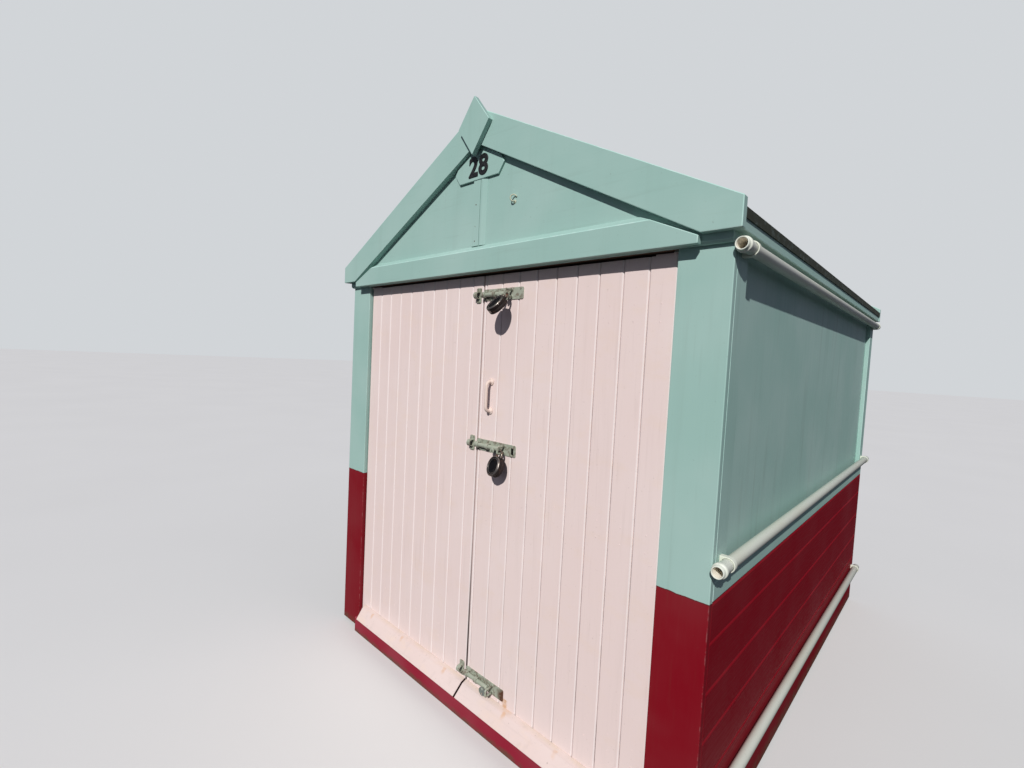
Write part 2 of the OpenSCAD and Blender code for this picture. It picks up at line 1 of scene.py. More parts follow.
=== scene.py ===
"""A timber beach hut with boarded doors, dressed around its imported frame.

Metres, in the frame's own axes: the doors face -Y, +X is to the right of someone who
faces the doors, and the hut stands on z = 0. Turned profiles, bevels and fasteners'
heads are given in millimetres.
"""

import json
import math
from functools import partial

import bmesh
import bpy
from mathutils import Matrix, Vector


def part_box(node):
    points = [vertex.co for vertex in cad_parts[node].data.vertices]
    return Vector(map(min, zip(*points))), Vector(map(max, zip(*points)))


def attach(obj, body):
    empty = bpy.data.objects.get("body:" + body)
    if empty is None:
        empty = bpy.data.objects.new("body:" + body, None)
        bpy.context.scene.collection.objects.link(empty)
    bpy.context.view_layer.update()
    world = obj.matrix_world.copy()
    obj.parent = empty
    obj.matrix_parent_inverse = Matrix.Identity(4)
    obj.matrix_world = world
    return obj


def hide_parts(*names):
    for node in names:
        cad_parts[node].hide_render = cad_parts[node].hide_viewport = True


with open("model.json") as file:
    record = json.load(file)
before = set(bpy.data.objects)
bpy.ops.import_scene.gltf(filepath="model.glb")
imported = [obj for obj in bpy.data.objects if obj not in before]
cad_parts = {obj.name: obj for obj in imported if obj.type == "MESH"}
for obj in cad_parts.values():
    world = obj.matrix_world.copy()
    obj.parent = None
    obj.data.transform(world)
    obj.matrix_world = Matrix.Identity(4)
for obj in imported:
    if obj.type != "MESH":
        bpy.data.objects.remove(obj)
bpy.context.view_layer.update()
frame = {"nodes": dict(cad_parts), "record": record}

MM = 0.001
NEAR = 0.1 * MM
BODY_OF = {
    node: body
    for body, nodes in frame["record"]["behaviour"]["bodies"].items()
    for node in nodes
}

# Places read from the frame
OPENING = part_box("front_board_right")[0].x
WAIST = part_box("waist_rail_right")[0].z
EAVE_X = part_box("roof_right")[1].x
GABLE_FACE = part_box("gable_panel")[0].y
BEARER_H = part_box("bearers")[1].z
PITCH = math.radians(27.3)

# Roof
ROOF_RUN = (EAVE_X - 3 * MM) / math.cos(PITCH)
ROOF_T = 22 * MM
FELT_T = 2.2 * MM
FELT_STRIPS = 3

# Doors
DOOR_GAP = 5 * MM
BOARDS = 9
BOARD_JOINT = 1.5 * MM
LEAF_T = 20 * MM
LEDGE_T = 22 * MM
LEDGE_W = 110 * MM
WASHER_T = 4 * MM
LEAF_Z0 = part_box("door_left")[0].z + WASHER_T
LEAF_Z1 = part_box("door_left")[1].z - WASHER_T
LEDGE_Z = (LEAF_Z0 + 120 * MM, (LEAF_Z0 + LEAF_Z1 - LEDGE_W) / 2, LEAF_Z1 - 100 * MM - LEDGE_W)
DOOR_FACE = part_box("weatherboard_left")[1].y
DOOR_BACK = DOOR_FACE + LEAF_T
WEATHERBOARD_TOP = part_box("weatherboard_left")[1].z
LEFT_LEAF = (-OPENING + DOOR_GAP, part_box("weatherboard_left")[1].x)
RIGHT_LEAF = (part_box("weatherboard_right")[0].x, OPENING - DOOR_GAP)
AXIS_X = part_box("door_pivots")[1].x - 6.5 * MM
MEET_X = (LEFT_LEAF[1] + RIGHT_LEAF[0]) / 2

# Bolts, in millimetres across from the right leaf's edge, out from the doors' face and
# up from a rod's axis
BOLT_X = RIGHT_LEAF[0]
ROD_R = 8
ROD_OUT = 12
STAPLE_X = 146
PLATE_L = 200
PLATE_T = 3
PLATE_HALF_H = 21
KEEP_HALF_H = 28.5
STRAP_TOP = 5.4
BOLTS = {n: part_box("bolt_" + n)[1].z - ROD_R * MM for n in ("bottom", "middle", "top")}


# ---------------------------------------------------------------- colours and shaders
def srgb(r, g, b):
    """A colour given as 0 to 255 values, as Blender's linear one."""
    out = []
    for v in (r, g, b):
        v = v / 255
        out.append(v / 12.92 if v <= 0.04045 else ((v + 0.055) / 1.055) ** 2.4)
    return (*out, 1.0)


def scaled(values, factor):
    return tuple(factor * v for v in values)


WHITE = (1, 1, 1, 1)
GREEN = srgb(156, 190, 181)
RED = srgb(127, 12, 27)
# Paler, pinker red for the base board: painted reflection of the sky on its face
BASE_RED_SKY_SHEEN = srgb(151, 40, 58)
PINK = srgb(234, 214, 209)
# Paler pink for the slopes of the doors' grooves: painted highlight
ARRIS_PINK_HIGHLIGHT = srgb(233, 220, 217)
# A darker copy of the doors' pink: painted shade to offset the extra light on the weatherboards' upturned
# slope
WEATHERBOARD_PINK_SHADED = srgb(217, 198, 192)
HANDLE_PINK = srgb(226, 205, 194)
SOFTWOOD = srgb(196, 158, 112)
FLOOR_WOOD = srgb(172, 134, 92)
# Dark wood for the head beam: painted shade, since its underside shows only in the shade over the doors
HEAD_BEAM_SHADE_WOOD = srgb(104, 78, 58)
PLY_RING = srgb(150, 110, 70)
KNOT = srgb(96, 58, 30)
FELT = srgb(140, 160, 155)
FELT_PALE = srgb(176, 186, 180)
FELT_DARK = srgb(104, 120, 112)
FELT_GRIT = srgb(88, 100, 96)
MOSS = srgb(66, 72, 42)
# Painted shade for the felt's turned-down edge at the eaves
EAVE_EDGE_SHADE = srgb(34, 38, 34)
STEEL_PAINT = srgb(166, 171, 155)
STEEL_PAINT_DULL = srgb(132, 146, 124)
EYE_PAINT = srgb(118, 124, 120)
STEEL = srgb(150, 148, 142)
ZINC = srgb(140, 146, 146)
PIPE = srgb(224, 228, 215)
PIPE_YELLOWED = srgb(196, 190, 160)
# Paler than the pipe outside: painted light inside the bore
PIPE_INSIDE_LIT = srgb(236, 230, 216)
GRIME = srgb(92, 84, 66)
RUST = srgb(99, 63, 42)
RUST_DEEP = srgb(70, 36, 18)
RUST_RUN = srgb(206, 156, 100)
LINE_DARK = srgb(60, 34, 34)
YELLOWED = srgb(232, 204, 170)
SEAM_DIRT = srgb(208, 188, 164)
# Painted shade for the shaded slopes of the doors' grooves
GROOVE_SHADE_DARK = srgb(92, 70, 66)
JOINT_DARK = srgb(48, 24, 20)


def wire(tree, node, wires):
    """Gives each named or numbered input of a node a link or a value."""
    for key, value in wires.items():
        if isinstance(value, bpy.types.NodeSocket):
            tree.links.new(value, node.inputs[key])
        else:
            node.inputs[key].default_value = value


def add_node(tree, kind, wires, **options):
    """Adds a node with its options and inputs; returns its outputs."""
    node = tree.nodes.new(kind)
    for key, value in options.items():
        setattr(node, key, value)
    wire(tree, node, wires)
    return node.outputs


class Shader:
    """A Principled material and short ways to add the nodes of its patterns."""

    def __init__(self, name):
        self.material = bpy.data.materials.new(name)
        self.material.use_nodes = True
        self.tree = self.material.node_tree
        self.add = partial(add_node, self.tree)
        self.place = self.add("ShaderNodeTexCoord", {})["Object"]

    def mapped(self, scale, turn=0.0, shift=(0, 0, 0)):
        """The place stretched along the axes, with a turn about Y."""
        wires = {"Vector": self.place, "Scale": scale, "Rotation": (0, turn, 0), "Location": shift}
        return self.add("ShaderNodeMapping", wires)["Vector"]

    def noise(self, vector, scale=1.0, detail=4.0, rough=0.55):
        wires = {"Vector": vector, "Scale": scale, "Detail": detail, "Roughness": rough}
        return self.add("ShaderNodeTexNoise", wires)["Fac"]

    def cells(self, vector, scale):
        return self.add("ShaderNodeTexVoronoi", {"Vector": vector, "Scale": scale})["Distance"]

    def span(self, value, low, high, out_low=0.0, out_high=1.0):
        """A value led smoothly from one range to another and held at its limits."""
        wires = {"Value": value, "From Min": low, "From Max": high, "To Min": out_low, "To Max": out_high}
        return self.add("ShaderNodeMapRange", wires, interpolation_type="SMOOTHSTEP")["Result"]

    def calc(self, operation, a, b=0.0):
        return self.add("ShaderNodeMath", {0: a, 1: b}, operation=operation)[0]

    def times(self, a, b):
        return self.calc("MULTIPLY", a, b)

    def minus(self, a, b):
        return self.calc("SUBTRACT", a, b)

    def axis(self, letter):
        return self.add("ShaderNodeSeparateXYZ", {0: self.place})["XYZ".index(letter)]

    def off(self, letter, value):
        """The distance from a value along an axis."""
        return self.calc("ABSOLUTE", self.minus(self.axis(letter), value))

    def blend(self, factor, a, b):
        return self.add("ShaderNodeMix", {0: factor, 6: a, 7: b}, data_type="RGBA")[2]

    def over(self, tone, colour, value, low, high, most=1.0, least=0.0):
        """A colour laid over a tone, from least to most as a value goes from low to high."""
        return self.blend(self.span(value, low, high, least, most), tone, colour)

    def bump(self, height, strength, distance, after=None):
        wires = {"Strength": strength, "Distance": distance * MM, "Height": height}
        if after is not None:
            wires["Normal"] = after
        return self.add("ShaderNodeBump", wires)["Normal"]

    def done(self, colour, roughness, normal=None, metallic=0.0, gloss=0.5):
        wires = {"Base Color": colour, "Roughness": roughness, "Metallic": metallic,
                 "Specular IOR Level": gloss}
        if normal is not None:
            wires["Normal"] = normal
        wire(self.tree, self.tree.nodes["Principled BSDF"], wires)
        return self.material


# Noise sizes that draw the grain out along an axis
ALONG = {"x": (3, 70, 70), "y": (70, 3, 70), "z": (70, 70, 3)}
# Paints by name, once made
_paints = {}


def two_tone(s, colour, faded, lower_colour, line):
    """A second colour below a hand-cut line; returns the colours and their fading."""
    wobble = s.times(s.minus(s.noise(s.mapped((40, 40, 12)), 1.0, 3.0), 0.5), 6 * MM)
    height = s.calc("ADD", s.axis("Z"), wobble)
    low, high = line - 0.6 * MM, line + 0.6 * MM
    base = s.over(lower_colour, colour, height, low, high)
    faded = s.times(faded, s.span(height, low, high, 0.15, 1.0))
    near = s.calc("ABSOLUTE", s.minus(height, line - 1.5 * MM))
    return s.over(base, LINE_DARK, near, 0.4 * MM, 2.6 * MM, 0.0, 0.55), faded


def seam_dirt(s, tone, seam):
    """Dirt in patches below a level joint."""
    near = s.span(s.axis("Z"), seam - 8 * MM, seam - 1 * MM)
    patchy = s.span(s.noise(s.mapped((12, 12, 50)), 1.0, 4.0), 0.36, 0.62, 0.1, 0.5)
    return s.blend(s.times(near, patchy), tone, SEAM_DIRT)


def painted_groove_shade(s, tone, start, pitch):
    """Painted shade on the slope just right of each upright joint, in patches and most towards the foot."""
    past = s.calc("FRACT", s.calc("DIVIDE", s.minus(s.axis("X"), start), pitch))
    beside = s.span(past, 2.2 * MM / pitch, 4.6 * MM / pitch, 1.0, 0.0)
    shade_patches = s.span(s.noise(s.mapped((12, 12, 6)), 1.0, 4.0), 0.44, 0.60, 0.15, 1.0)
    amount = s.times(shade_patches, s.span(s.axis("Z"), 0.3, 0.8, 0.85, 0.35))
    return s.blend(s.times(beside, amount), tone, GROOVE_SHADE_DARK)


def rust_run(s, tone, x, top, length, half, strength):
    """A rust stain that starts at its top and fades on its way down."""
    swing = s.times(s.minus(s.noise(s.mapped((30, 30, 60)), 1.0, 3.0), 0.5), 14 * MM)
    centre = s.calc("ADD", s.minus(s.axis("X"), x), swing)
    wide = s.span(s.calc("ABSOLUTE", centre), 0.25 * half, half, strength, 0.0)
    tail = s.span(s.axis("Z"), top - length, top - 0.3 * length)
    head = s.span(s.axis("Z"), top, top + 2 * MM, 1.0, 0.0)
    patchy = s.span(s.noise(s.place, 60.0, 5.0, 0.7), 0.3, 0.62, 0.25, 1.0)
    return s.blend(s.times(s.times(wide, patchy), s.times(tail, head)), tone, RUST_RUN)


def joint_dirt(s, tone, x, at_foot, higher):
    """The dirty edges of the boards beside an upright joint."""
    near = s.span(s.off("X", x), 3.2 * MM, 5.6 * MM, 1.0, 0.0)
    amount = s.span(s.axis("Z"), 0.22, 0.75, at_foot, higher)
    return s.blend(s.times(near, amount), tone, JOINT_DARK)


def paint(name, colour, along="z", turn=0.0, lower=None, worn=0.0, grime=0.2, foot=0.0,
          gloss=0.22, bloom=0.14, cream=0.0, joint=None, seam=None, cracks=None, runs=()):
    """Brushed gloss paint on timber.

    along is the way the grain runs, turned about Y by turn. lower is a second colour
    and the height below which it covers the board. worn is the share of an edge where
    the paint is thin. foot is the height that splashed dirt reaches. cream is the share
    of yellowed blotches. joint is the place across of a dirty joint and its dirt at the
    foot and higher up. seam is the height of a dirty level joint. cracks is the
    first upright joint and the joints' spacing, for painted shade on the slope beside
    each joint. runs are rust stains: place across, top, length, half width and strength.
    """
    s = Shader(name)
    grain = s.noise(s.mapped(ALONG[along], turn), 1.0, 6.0, 0.6)
    brush = s.noise(s.mapped(scaled(ALONG[along], 4.5), turn, (0.3, 0.7, 0.1)), 1.0, 3.0, 0.5)
    base = colour
    faded = s.span(s.noise(s.place, 2.6, 3.0), 0.35, 0.7, 0.0, bloom)
    if lower is not None:
        base, faded = two_tone(s, colour, faded, *lower)
    light = s.blend(0.5, WHITE, colour)
    tone = s.blend(faded, base, light)
    streak = s.noise(s.mapped((26, 26, 1.3)), 1.0, 5.0, 0.65)
    tone = s.over(tone, GRIME, streak, 0.52, 0.78, 0.3 * grime)
    tone = s.over(tone, GRIME, grain, 0.30, 0.44, 0.0, 0.06)
    tone = s.over(tone, GRIME, s.noise(s.place, 90.0, 3.0, 0.7), 0.66, 0.74, grime)
    if worn:
        tone = s.over(tone, light, s.noise(s.mapped((30, 30, 30)), 1.0, 5.0, 0.7), 0.46, 0.62, worn)
    if foot:
        splash = s.times(s.span(s.axis("Z"), 0.0, foot, 1.0, 0.0), s.noise(s.place, 24.0, 6.0, 0.7))
        tone = s.over(tone, GRIME, splash, 0.22, 0.62, 0.75)
    if cream:
        tone = s.over(tone, YELLOWED, s.noise(s.mapped((9, 9, 16)), 1.0, 5.0, 0.65), 0.50, 0.72, cream)
    if seam is not None:
        tone = seam_dirt(s, tone, seam)
    # Painted shade beside the upright joints
    if cracks is not None:
        tone = painted_groove_shade(s, tone, *cracks)
    for run in runs:
        tone = rust_run(s, tone, *run)
    if joint is not None:
        tone = joint_dirt(s, tone, *joint)
    normal = s.bump(brush, 0.18, 0.3, s.bump(grain, 0.32, 0.6))
    return s.done(tone, s.span(brush, 0.3, 0.7, 0.44, 0.62), normal, gloss=gloss)


def paint_pair(key, colour, wear_and_highlight=1.28, arris=None, **how):
    """The paint of a board's faces and the paler paint of its edges: partly wear, partly painted highlight
    where the arrises catch the light.
    """
    if key not in _paints:
        # Edge paint is paler than the face paint: worn paint, and a painted highlight on the arrises.
        pale = arris or (*(min(0.9, v) for v in scaled(colour[:3], wear_and_highlight)), 1.0)
        edge = paint(key + "_edge", pale, worn=1.25 * (wear_and_highlight - 1), **how)
        _paints[key] = (paint(key, colour, **how), edge)
    return _paints[key]


def bare_timber(name, along, colour=SOFTWOOD):
    """Planed softwood: growth rings cut lengthwise, knots and a little dust."""
    s = Shader(name)
    sizes = {"x": (0.7, 11, 11), "y": (11, 0.7, 11), "z": (11, 11, 0.7)}[along]
    flow = s.noise(s.mapped(sizes), 1.0, 2.0, 0.4)
    late = s.span(s.calc("FRACT", s.times(flow, 14.0)), 0.55, 0.95)
    pores = s.noise(s.mapped(scaled(sizes, 9)), 1.0, 4.0, 0.6)
    dark = (*scaled(colour[:3], 0.55), 1.0)
    tone = s.blend(s.times(late, 0.55), colour, dark)
    tone = s.over(tone, dark, pores, 0.5, 0.72, 0.35)
    knots = s.cells(s.mapped(tuple(0.35 * v + 1.2 for v in sizes)), 1.6)
    tone = s.over(tone, KNOT, knots, 0.05, 0.11, 0.0, 0.7)
    return s.done(tone, s.span(pores, 0.3, 0.7, 0.62, 0.78), s.bump(pores, 0.25, 0.5))


def two_sided_sheet(name, letter, inner, outer):
    """Sheet that is painted outside and bare inside; the colour changes in its thickness."""
    s = Shader(name)
    grain = s.noise(s.mapped(ALONG["z"]), 1.0, 6.0, 0.6)
    streak = s.noise(s.mapped((22, 22, 1.2)), 1.0, 5.0, 0.65)
    light = s.blend(0.5, WHITE, GREEN)
    painted = s.over(GREEN, light, s.noise(s.place, 2.6, 3.0), 0.35, 0.7, 0.16)
    painted = s.over(painted, GRIME, streak, 0.52, 0.78, 0.2)
    ply = s.times(s.noise(s.mapped((5, 5, 1.0)), 2.0, 3.0, 0.5), 9.0)
    bare = s.over(SOFTWOOD, PLY_RING, s.calc("FRACT", ply), 0.5, 1.0, 0.4)
    tone = s.over(bare, painted, s.calc("ABSOLUTE", s.axis(letter)), inner, outer)
    return s.done(tone, s.span(grain, 0.3, 0.7, 0.45, 0.62), s.bump(grain, 0.22, 0.5), gloss=0.22)


def painted_steel(name, colour, rust, rust_at=None, rims=()):
    """Old paint over iron, with rust breaking through.

    rust_at is a point and a reach. rims are pairs of a height and a half height at
    whose upper and lower limits the paint is thin.
    """
    s = Shader(name)
    lumps = s.noise(s.place, 70.0, 5.0, 0.65)
    pits = s.noise(s.place, 420.0, 4.0, 0.7)
    tone = s.over(colour, STEEL_PAINT_DULL, s.noise(s.place, 24.0, 4.0), 0.35, 0.7, 0.35)
    tone = s.over(tone, GRIME, pits, 0.6, 0.72, 0.45)
    mask = s.span(lumps, 0.70 - 0.3 * rust, 0.78 - 0.3 * rust)
    if rust_at is not None:
        point, reach = rust_at
        away = s.add("ShaderNodeVectorMath", {0: s.place, 1: point}, operation="DISTANCE")["Value"]
        near = s.times(s.span(away, reach, 0.45 * reach), s.span(lumps, 0.22, 0.42))
        mask = s.calc("MAXIMUM", mask, near)
    for z, half in rims:
        rim = s.span(s.off("Z", z), half - 3 * MM, half - 0.3 * MM)
        mask = s.calc("MAXIMUM", mask, s.times(rim, s.span(lumps, 0.46, 0.62, 0.0, 0.6)))
    tone = s.blend(mask, tone, s.over(RUST, RUST_DEEP, pits, 0.35, 0.65))
    normal = s.bump(pits, 0.25, 0.25, s.bump(lumps, 0.35, 0.6))
    return s.done(tone, s.span(mask, 0.0, 1.0, 0.42, 0.85), normal)


def steel(name, colour=STEEL, rust=0.2):
    s = Shader(name)
    wear = s.noise(s.place, 160.0, 5.0, 0.6)
    mask = s.span(wear, 0.66 - 0.2 * rust, 0.74 - 0.2 * rust)
    metal = s.span(mask, 0.0, 1.0, 0.95, 0.1)
    tone = s.blend(mask, colour, RUST)
    return s.done(tone, s.span(wear, 0.3, 0.7, 0.28, 0.5), s.bump(wear, 0.15, 0.2), metal)


def lock_iron(name, colour, rust):
    """The dark, rusty body of a padlock."""
    s = Shader(name)
    lumps = s.noise(s.place, 95.0, 5.0, 0.65)
    grit = s.noise(s.place, 520.0, 3.0, 0.7)
    tone = s.over(colour, srgb(76, 56, 47), lumps, 0.62 - 0.35 * rust, 0.74 - 0.35 * rust)
    tone = s.over(tone, srgb(30, 25, 24), grit, 0.58, 0.72, 0.6)
    return s.done(tone, s.span(lumps, 0.3, 0.7, 0.45, 0.75), s.bump(grit, 0.25, 0.2), gloss=0.2)


def pipe_plastic(name, colour):
    s = Shader(name)
    broad = s.noise(s.mapped((9, 3, 9)), 1.0, 4.0)
    speck = s.noise(s.place, 110.0, 4.0, 0.7)
    tone = s.over(colour, PIPE_YELLOWED, broad, 0.4, 0.75, 0.35)
    tone = s.over(tone, GRIME, speck, 0.62, 0.74, 0.5)
    return s.done(tone, s.span(broad, 0.3, 0.7, 0.38, 0.55), s.bump(speck, 0.1, 0.2))


def roofing_felt(name):
    """Mineral felt: stone grit, pale weathering, moss towards the eaves and painted shade on the turned-down
    edge.
    """
    s = Shader(name)
    grit = s.cells(s.place, 420.0)
    broad = s.noise(s.mapped((2.2, 1.4, 2.2)), 1.0, 5.0, 0.6)
    washed = s.noise(s.mapped((1.6, 15, 1.6)), 1.0, 5.0, 0.6)
    tone = s.over(FELT, FELT_PALE, broad, 0.36, 0.68, 0.3)
    tone = s.over(tone, FELT_DARK, washed, 0.42, 0.66, 0.4)
    tone = s.over(tone, FELT_GRIT, grit, 0.1, 0.6, 0.0, 0.35)
    moss = s.noise(s.place, 34.0, 6.0, 0.72)
    from_ridge = s.calc("ABSOLUTE", s.axis("X"))
    reach = s.span(from_ridge, EAVE_X - 0.16, EAVE_X, 0.0, 0.34)
    tone = s.over(tone, MOSS, s.calc("ADD", moss, reach), 0.66, 0.84)
    # Painted shade on the felt's edge and its turn-down at the eaves
    tone = s.over(tone, EAVE_EDGE_SHADE, from_ridge, EAVE_X - 5 * MM, EAVE_X - 1 * MM, 0.72)
    normal = s.bump(moss, 0.3, 1.2, s.bump(grit, 0.5, 0.5))
    return s.done(tone, s.span(grit, 0.0, 0.5, 0.95, 0.8), normal)


# ---------------------------------------------------------------- mesh tools
def keep_mesh(name, bm, materials=()):
    mesh = bpy.data.meshes.new(name)
    bm.to_mesh(mesh)
    bm.free()
    for m in materials:
        mesh.materials.append(m)
    return mesh


def placed(name, data):
    """A new object in the scene."""
    made = bpy.data.objects.new(name, data)
    bpy.context.scene.collection.objects.link(made)
    return made


def show(name, mesh, body, replaced=()):
    """Puts a finished mesh in the scene as a piece that rides on a body."""
    piece = placed(name, mesh)
    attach(piece, body)
    if replaced:
        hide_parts(*replaced)


def show_for(node, bm, materials, name=None):
    """Shows a shape in place of a CAD node, on the node's body."""
    mesh = keep_mesh(node, bm, materials)
    show(name or node.replace("_", "-"), mesh, BODY_OF[node], (node,))


def plain_mesh(holder):
    """The mesh that an object comes to; the object itself goes."""
    bpy.context.view_layer.update()
    evaluated = holder.evaluated_get(bpy.context.evaluated_depsgraph_get())
    mesh = bpy.data.meshes.new_from_object(evaluated)
    bpy.data.objects.remove(holder)
    return mesh


def finish(faces, index):
    """Gives faces one of their mesh's materials."""
    for f in faces:
        f.material_index = index


def round_edges(bm, width, segments=2, angle=25.0):
    """Bevels the sharp edges; the new faces take the second material."""
    bm.normal_update()
    sharp = []
    for e in bm.edges:
        if len(e.link_faces) == 2 and e.calc_face_angle() > math.radians(angle):
            sharp.append(e)
    bmesh.ops.bevel(bm, geom=sharp, offset=width * MM, segments=segments, profile=0.5,
                    affect="EDGES", clamp_overlap=True, material=1)


def weld(bm):
    """Joins the parts of a turned shape where they meet."""
    bmesh.ops.remove_doubles(bm, verts=bm.verts, dist=1e-6)
    bmesh.ops.recalc_face_normals(bm, faces=bm.faces)


def moved(x, y, z):
    return Matrix.Translation((x, y, z))


def turned(degrees, axis):
    return Matrix.Rotation(math.radians(degrees), 4, axis)


def facing_front(x, y, z):
    """A matrix that stands a shape drawn up Z on a face that looks along -Y."""
    return moved(x, y, z) @ turned(90, "X")


def add_box(bm, lo, hi):
    size = [b - a for a, b in zip(lo, hi)]
    middle = [(b + a) / 2 for a, b in zip(lo, hi)]
    bmesh.ops.create_cube(bm, size=1.0, matrix=moved(*middle) @ Matrix.Diagonal((*size, 1.0)))


def add_prism(bm, outline, low, high, axis="y"):
    """A flat outline given a thickness: (x, z) along Y, (y, z) along X or (x, y) along Z."""
    place = {
        "y": lambda a, b, c: (a, c, b),
        "x": lambda a, b, c: (c, a, b),
        "z": lambda a, b, c: (a, b, c),
    }[axis]
    near = [bm.verts.new(place(a, b, low)) for a, b in outline]
    far = [bm.verts.new(place(a, b, high)) for a, b in outline]
    faces = [bm.faces.new(near), bm.faces.new(far)]
    for i in range(len(outline)):
        j = (i + 1) % len(outline)
        faces.append(bm.faces.new((near[i], near[j], far[j], far[i])))
    bmesh.ops.recalc_face_normals(bm, faces=faces)
    return faces


def scaled_pairs(pairs):
    """Millimetre pairs as metres."""
    return [(a * MM, b * MM) for a, b in pairs]


def add_lathe(bm, profile, matrix, segments, index=0):
    """Turns a profile of (radius, height) in millimetres about Z and places it."""
    rings = []
    for r, z in scaled_pairs(profile):
        ring = []
        for i in range(segments if r else 1):
            a = 2 * math.pi * i / segments
            ring.append(bm.verts.new(matrix @ Vector((r * math.cos(a), r * math.sin(a), z))))
        rings.append(ring)
    faces = []
    for a, b in zip(rings, rings[1:]):
        for i in range(segments):
            j = (i + 1) % segments
            quad = (a[i % len(a)], a[j % len(a)], b[j % len(b)], b[i % len(b)])
            corners = list(dict.fromkeys(quad))
            if len(corners) > 2:
                faces.append(bm.faces.new(corners))
    for f in faces:
        f.smooth = True
    bmesh.ops.recalc_face_normals(bm, faces=faces)
    finish(faces, index)


def add_tube(bm, points, radius, segments, index=0):
    """A round bar along points, with flat ends."""
    points = [Vector(p) for p in points]
    side = None
    rings = []
    for i, p in enumerate(points):
        along = (points[min(i + 1, len(points) - 1)] - points[max(i - 1, 0)]).normalized()
        if side is None:
            side = along.orthogonal().normalized()
        side = (side - along * side.dot(along)).normalized()
        other = along.cross(side)
        ring = []
        for k in range(segments):
            a = 2 * math.pi * k / segments
            ring.append(bm.verts.new(p + radius * MM * (math.cos(a) * side + math.sin(a) * other)))
        rings.append(ring)
    faces = []
    for a, b in zip(rings, rings[1:]):
        for k in range(segments):
            n = (k + 1) % segments
            faces.append(bm.faces.new((a[k], a[n], b[n], b[k])))
    for f in faces:
        f.smooth = True
    faces += [bm.faces.new(rings[0]), bm.faces.new(rings[-1])]
    bmesh.ops.recalc_face_normals(bm, faces=faces)
    finish(faces, index)


def arc(centre, radius, start, stop, plane, steps):
    """Points on an arc in the plane of two unit vectors."""
    u, v = (Vector(d) for d in plane)
    out = []
    for i in range(steps + 1):
        a = math.radians(start + (stop - start) * i / steps)
        out.append(Vector(centre) + radius * (math.cos(a) * u + math.sin(a) * v))
    return out


# ---------------------------------------------------------------- repeated pieces
def new_tree(name, sockets):
    """An empty node group with its inputs; returns it and the outputs of its input node."""
    tree = bpy.data.node_groups.new(name, "GeometryNodeTree")
    for label, kind in [("Geometry", "Geometry"), *sockets]:
        tree.interface.new_socket(label, in_out="INPUT", socket_type="NodeSocket" + kind)
    tree.interface.new_socket("Geometry", in_out="OUTPUT", socket_type="NodeSocketGeometry")
    return tree, add_node(tree, "NodeGroupInput", {})


def row_tree():
    """Repeats the piece's own mesh along a line, each copy a little out of true.

    Faces take the face paint, and those that are marked as edges the edge paint.
    """
    sockets = [("Count", "Int"), ("Step", "Vector"), ("Play", "Vector"), ("Seed", "Int"),
               ("Paint", "Material"), ("Edge Paint", "Material")]
    tree, given = new_tree("row", sockets)
    add = partial(add_node, tree)
    line = add("GeometryNodeMeshLine", {"Count": given["Count"], "Offset": given["Step"]})
    negative = add("ShaderNodeVectorMath", {0: given["Play"], "Scale": -1.0}, operation="SCALE")
    limits = {"Min": negative[0], "Max": given["Play"], "Seed": given["Seed"]}
    play = add("FunctionNodeRandomValue", limits, data_type="FLOAT_VECTOR")
    nudged = add("GeometryNodeSetPosition", {"Geometry": line[0], "Offset": play["Value"]})
    copies = add("GeometryNodeInstanceOnPoints", {"Points": nudged[0], "Instance": given["Geometry"]})
    real = add("GeometryNodeRealizeInstances", {"Geometry": copies[0]})
    face = add("GeometryNodeSetMaterial", {"Geometry": real[0], "Material": given["Paint"]})
    mark = add("GeometryNodeInputNamedAttribute", {"Name": "edge"}, data_type="BOOLEAN")["Attribute"]
    wires = {"Geometry": face[0], "Selection": mark, "Material": given["Edge Paint"]}
    add("NodeGroupOutput", {"Geometry": add("GeometryNodeSetMaterial", wires)[0]})
    return tree


def heads_tree():
    """Stands a fastener's head on each point of the mesh, turned at random about its axis."""
    sockets = [("Head Radius", "Float"), ("Head Height", "Float"), ("Face Turn", "Vector"),
               ("Slot Width", "Float"), ("Seed", "Int"), ("Paint", "Material")]
    tree, given = new_tree("heads", sockets)
    add = partial(add_node, tree)
    radius, height = given["Head Radius"], given["Head Height"]
    top = add("ShaderNodeMath", {0: radius, 1: 0.72}, operation="MULTIPLY")
    long_side = add("ShaderNodeMath", {0: radius, 1: 2.4}, operation="MULTIPLY")
    sizes = {"Depth": height, "Radius Bottom": radius, "Radius Top": top[0]}
    head = add("GeometryNodeMeshCone", {"Vertices": 18, "Side Segments": 2, **sizes})
    size = add("ShaderNodeCombineXYZ", {0: long_side[0], 1: given["Slot Width"], 2: height})
    slot = add("GeometryNodeMeshCube", {"Size": size[0]})
    up = add("ShaderNodeCombineXYZ", {2: height})
    lifted = add("GeometryNodeTransform", {"Geometry": slot["Mesh"], "Translation": up[0]})
    parts = {"Mesh 1": head["Mesh"], "Mesh 2": lifted[0]}
    cut = add("GeometryNodeMeshBoolean", parts, operation="DIFFERENCE")
    wires = {"Points": given["Geometry"], "Instance": cut["Mesh"], "Rotation": given["Face Turn"]}
    copies = add("GeometryNodeInstanceOnPoints", wires)
    spin = add("FunctionNodeRandomValue", {3: math.pi, "Seed": given["Seed"]}, data_type="FLOAT")
    about = add("ShaderNodeCombineXYZ", {2: spin[1]})
    spun = add("GeometryNodeRotateInstances", {"Instances": copies[0], "Rotation": about[0]})
    real = add("GeometryNodeRealizeInstances", {"Geometry": spun[0]})
    made = add("GeometryNodeSetMaterial", {"Geometry": real[0], "Material": given["Paint"]})
    add("NodeGroupOutput", {"Geometry": made[0]})
    return tree


ROW = row_tree()
HEADS = heads_tree()


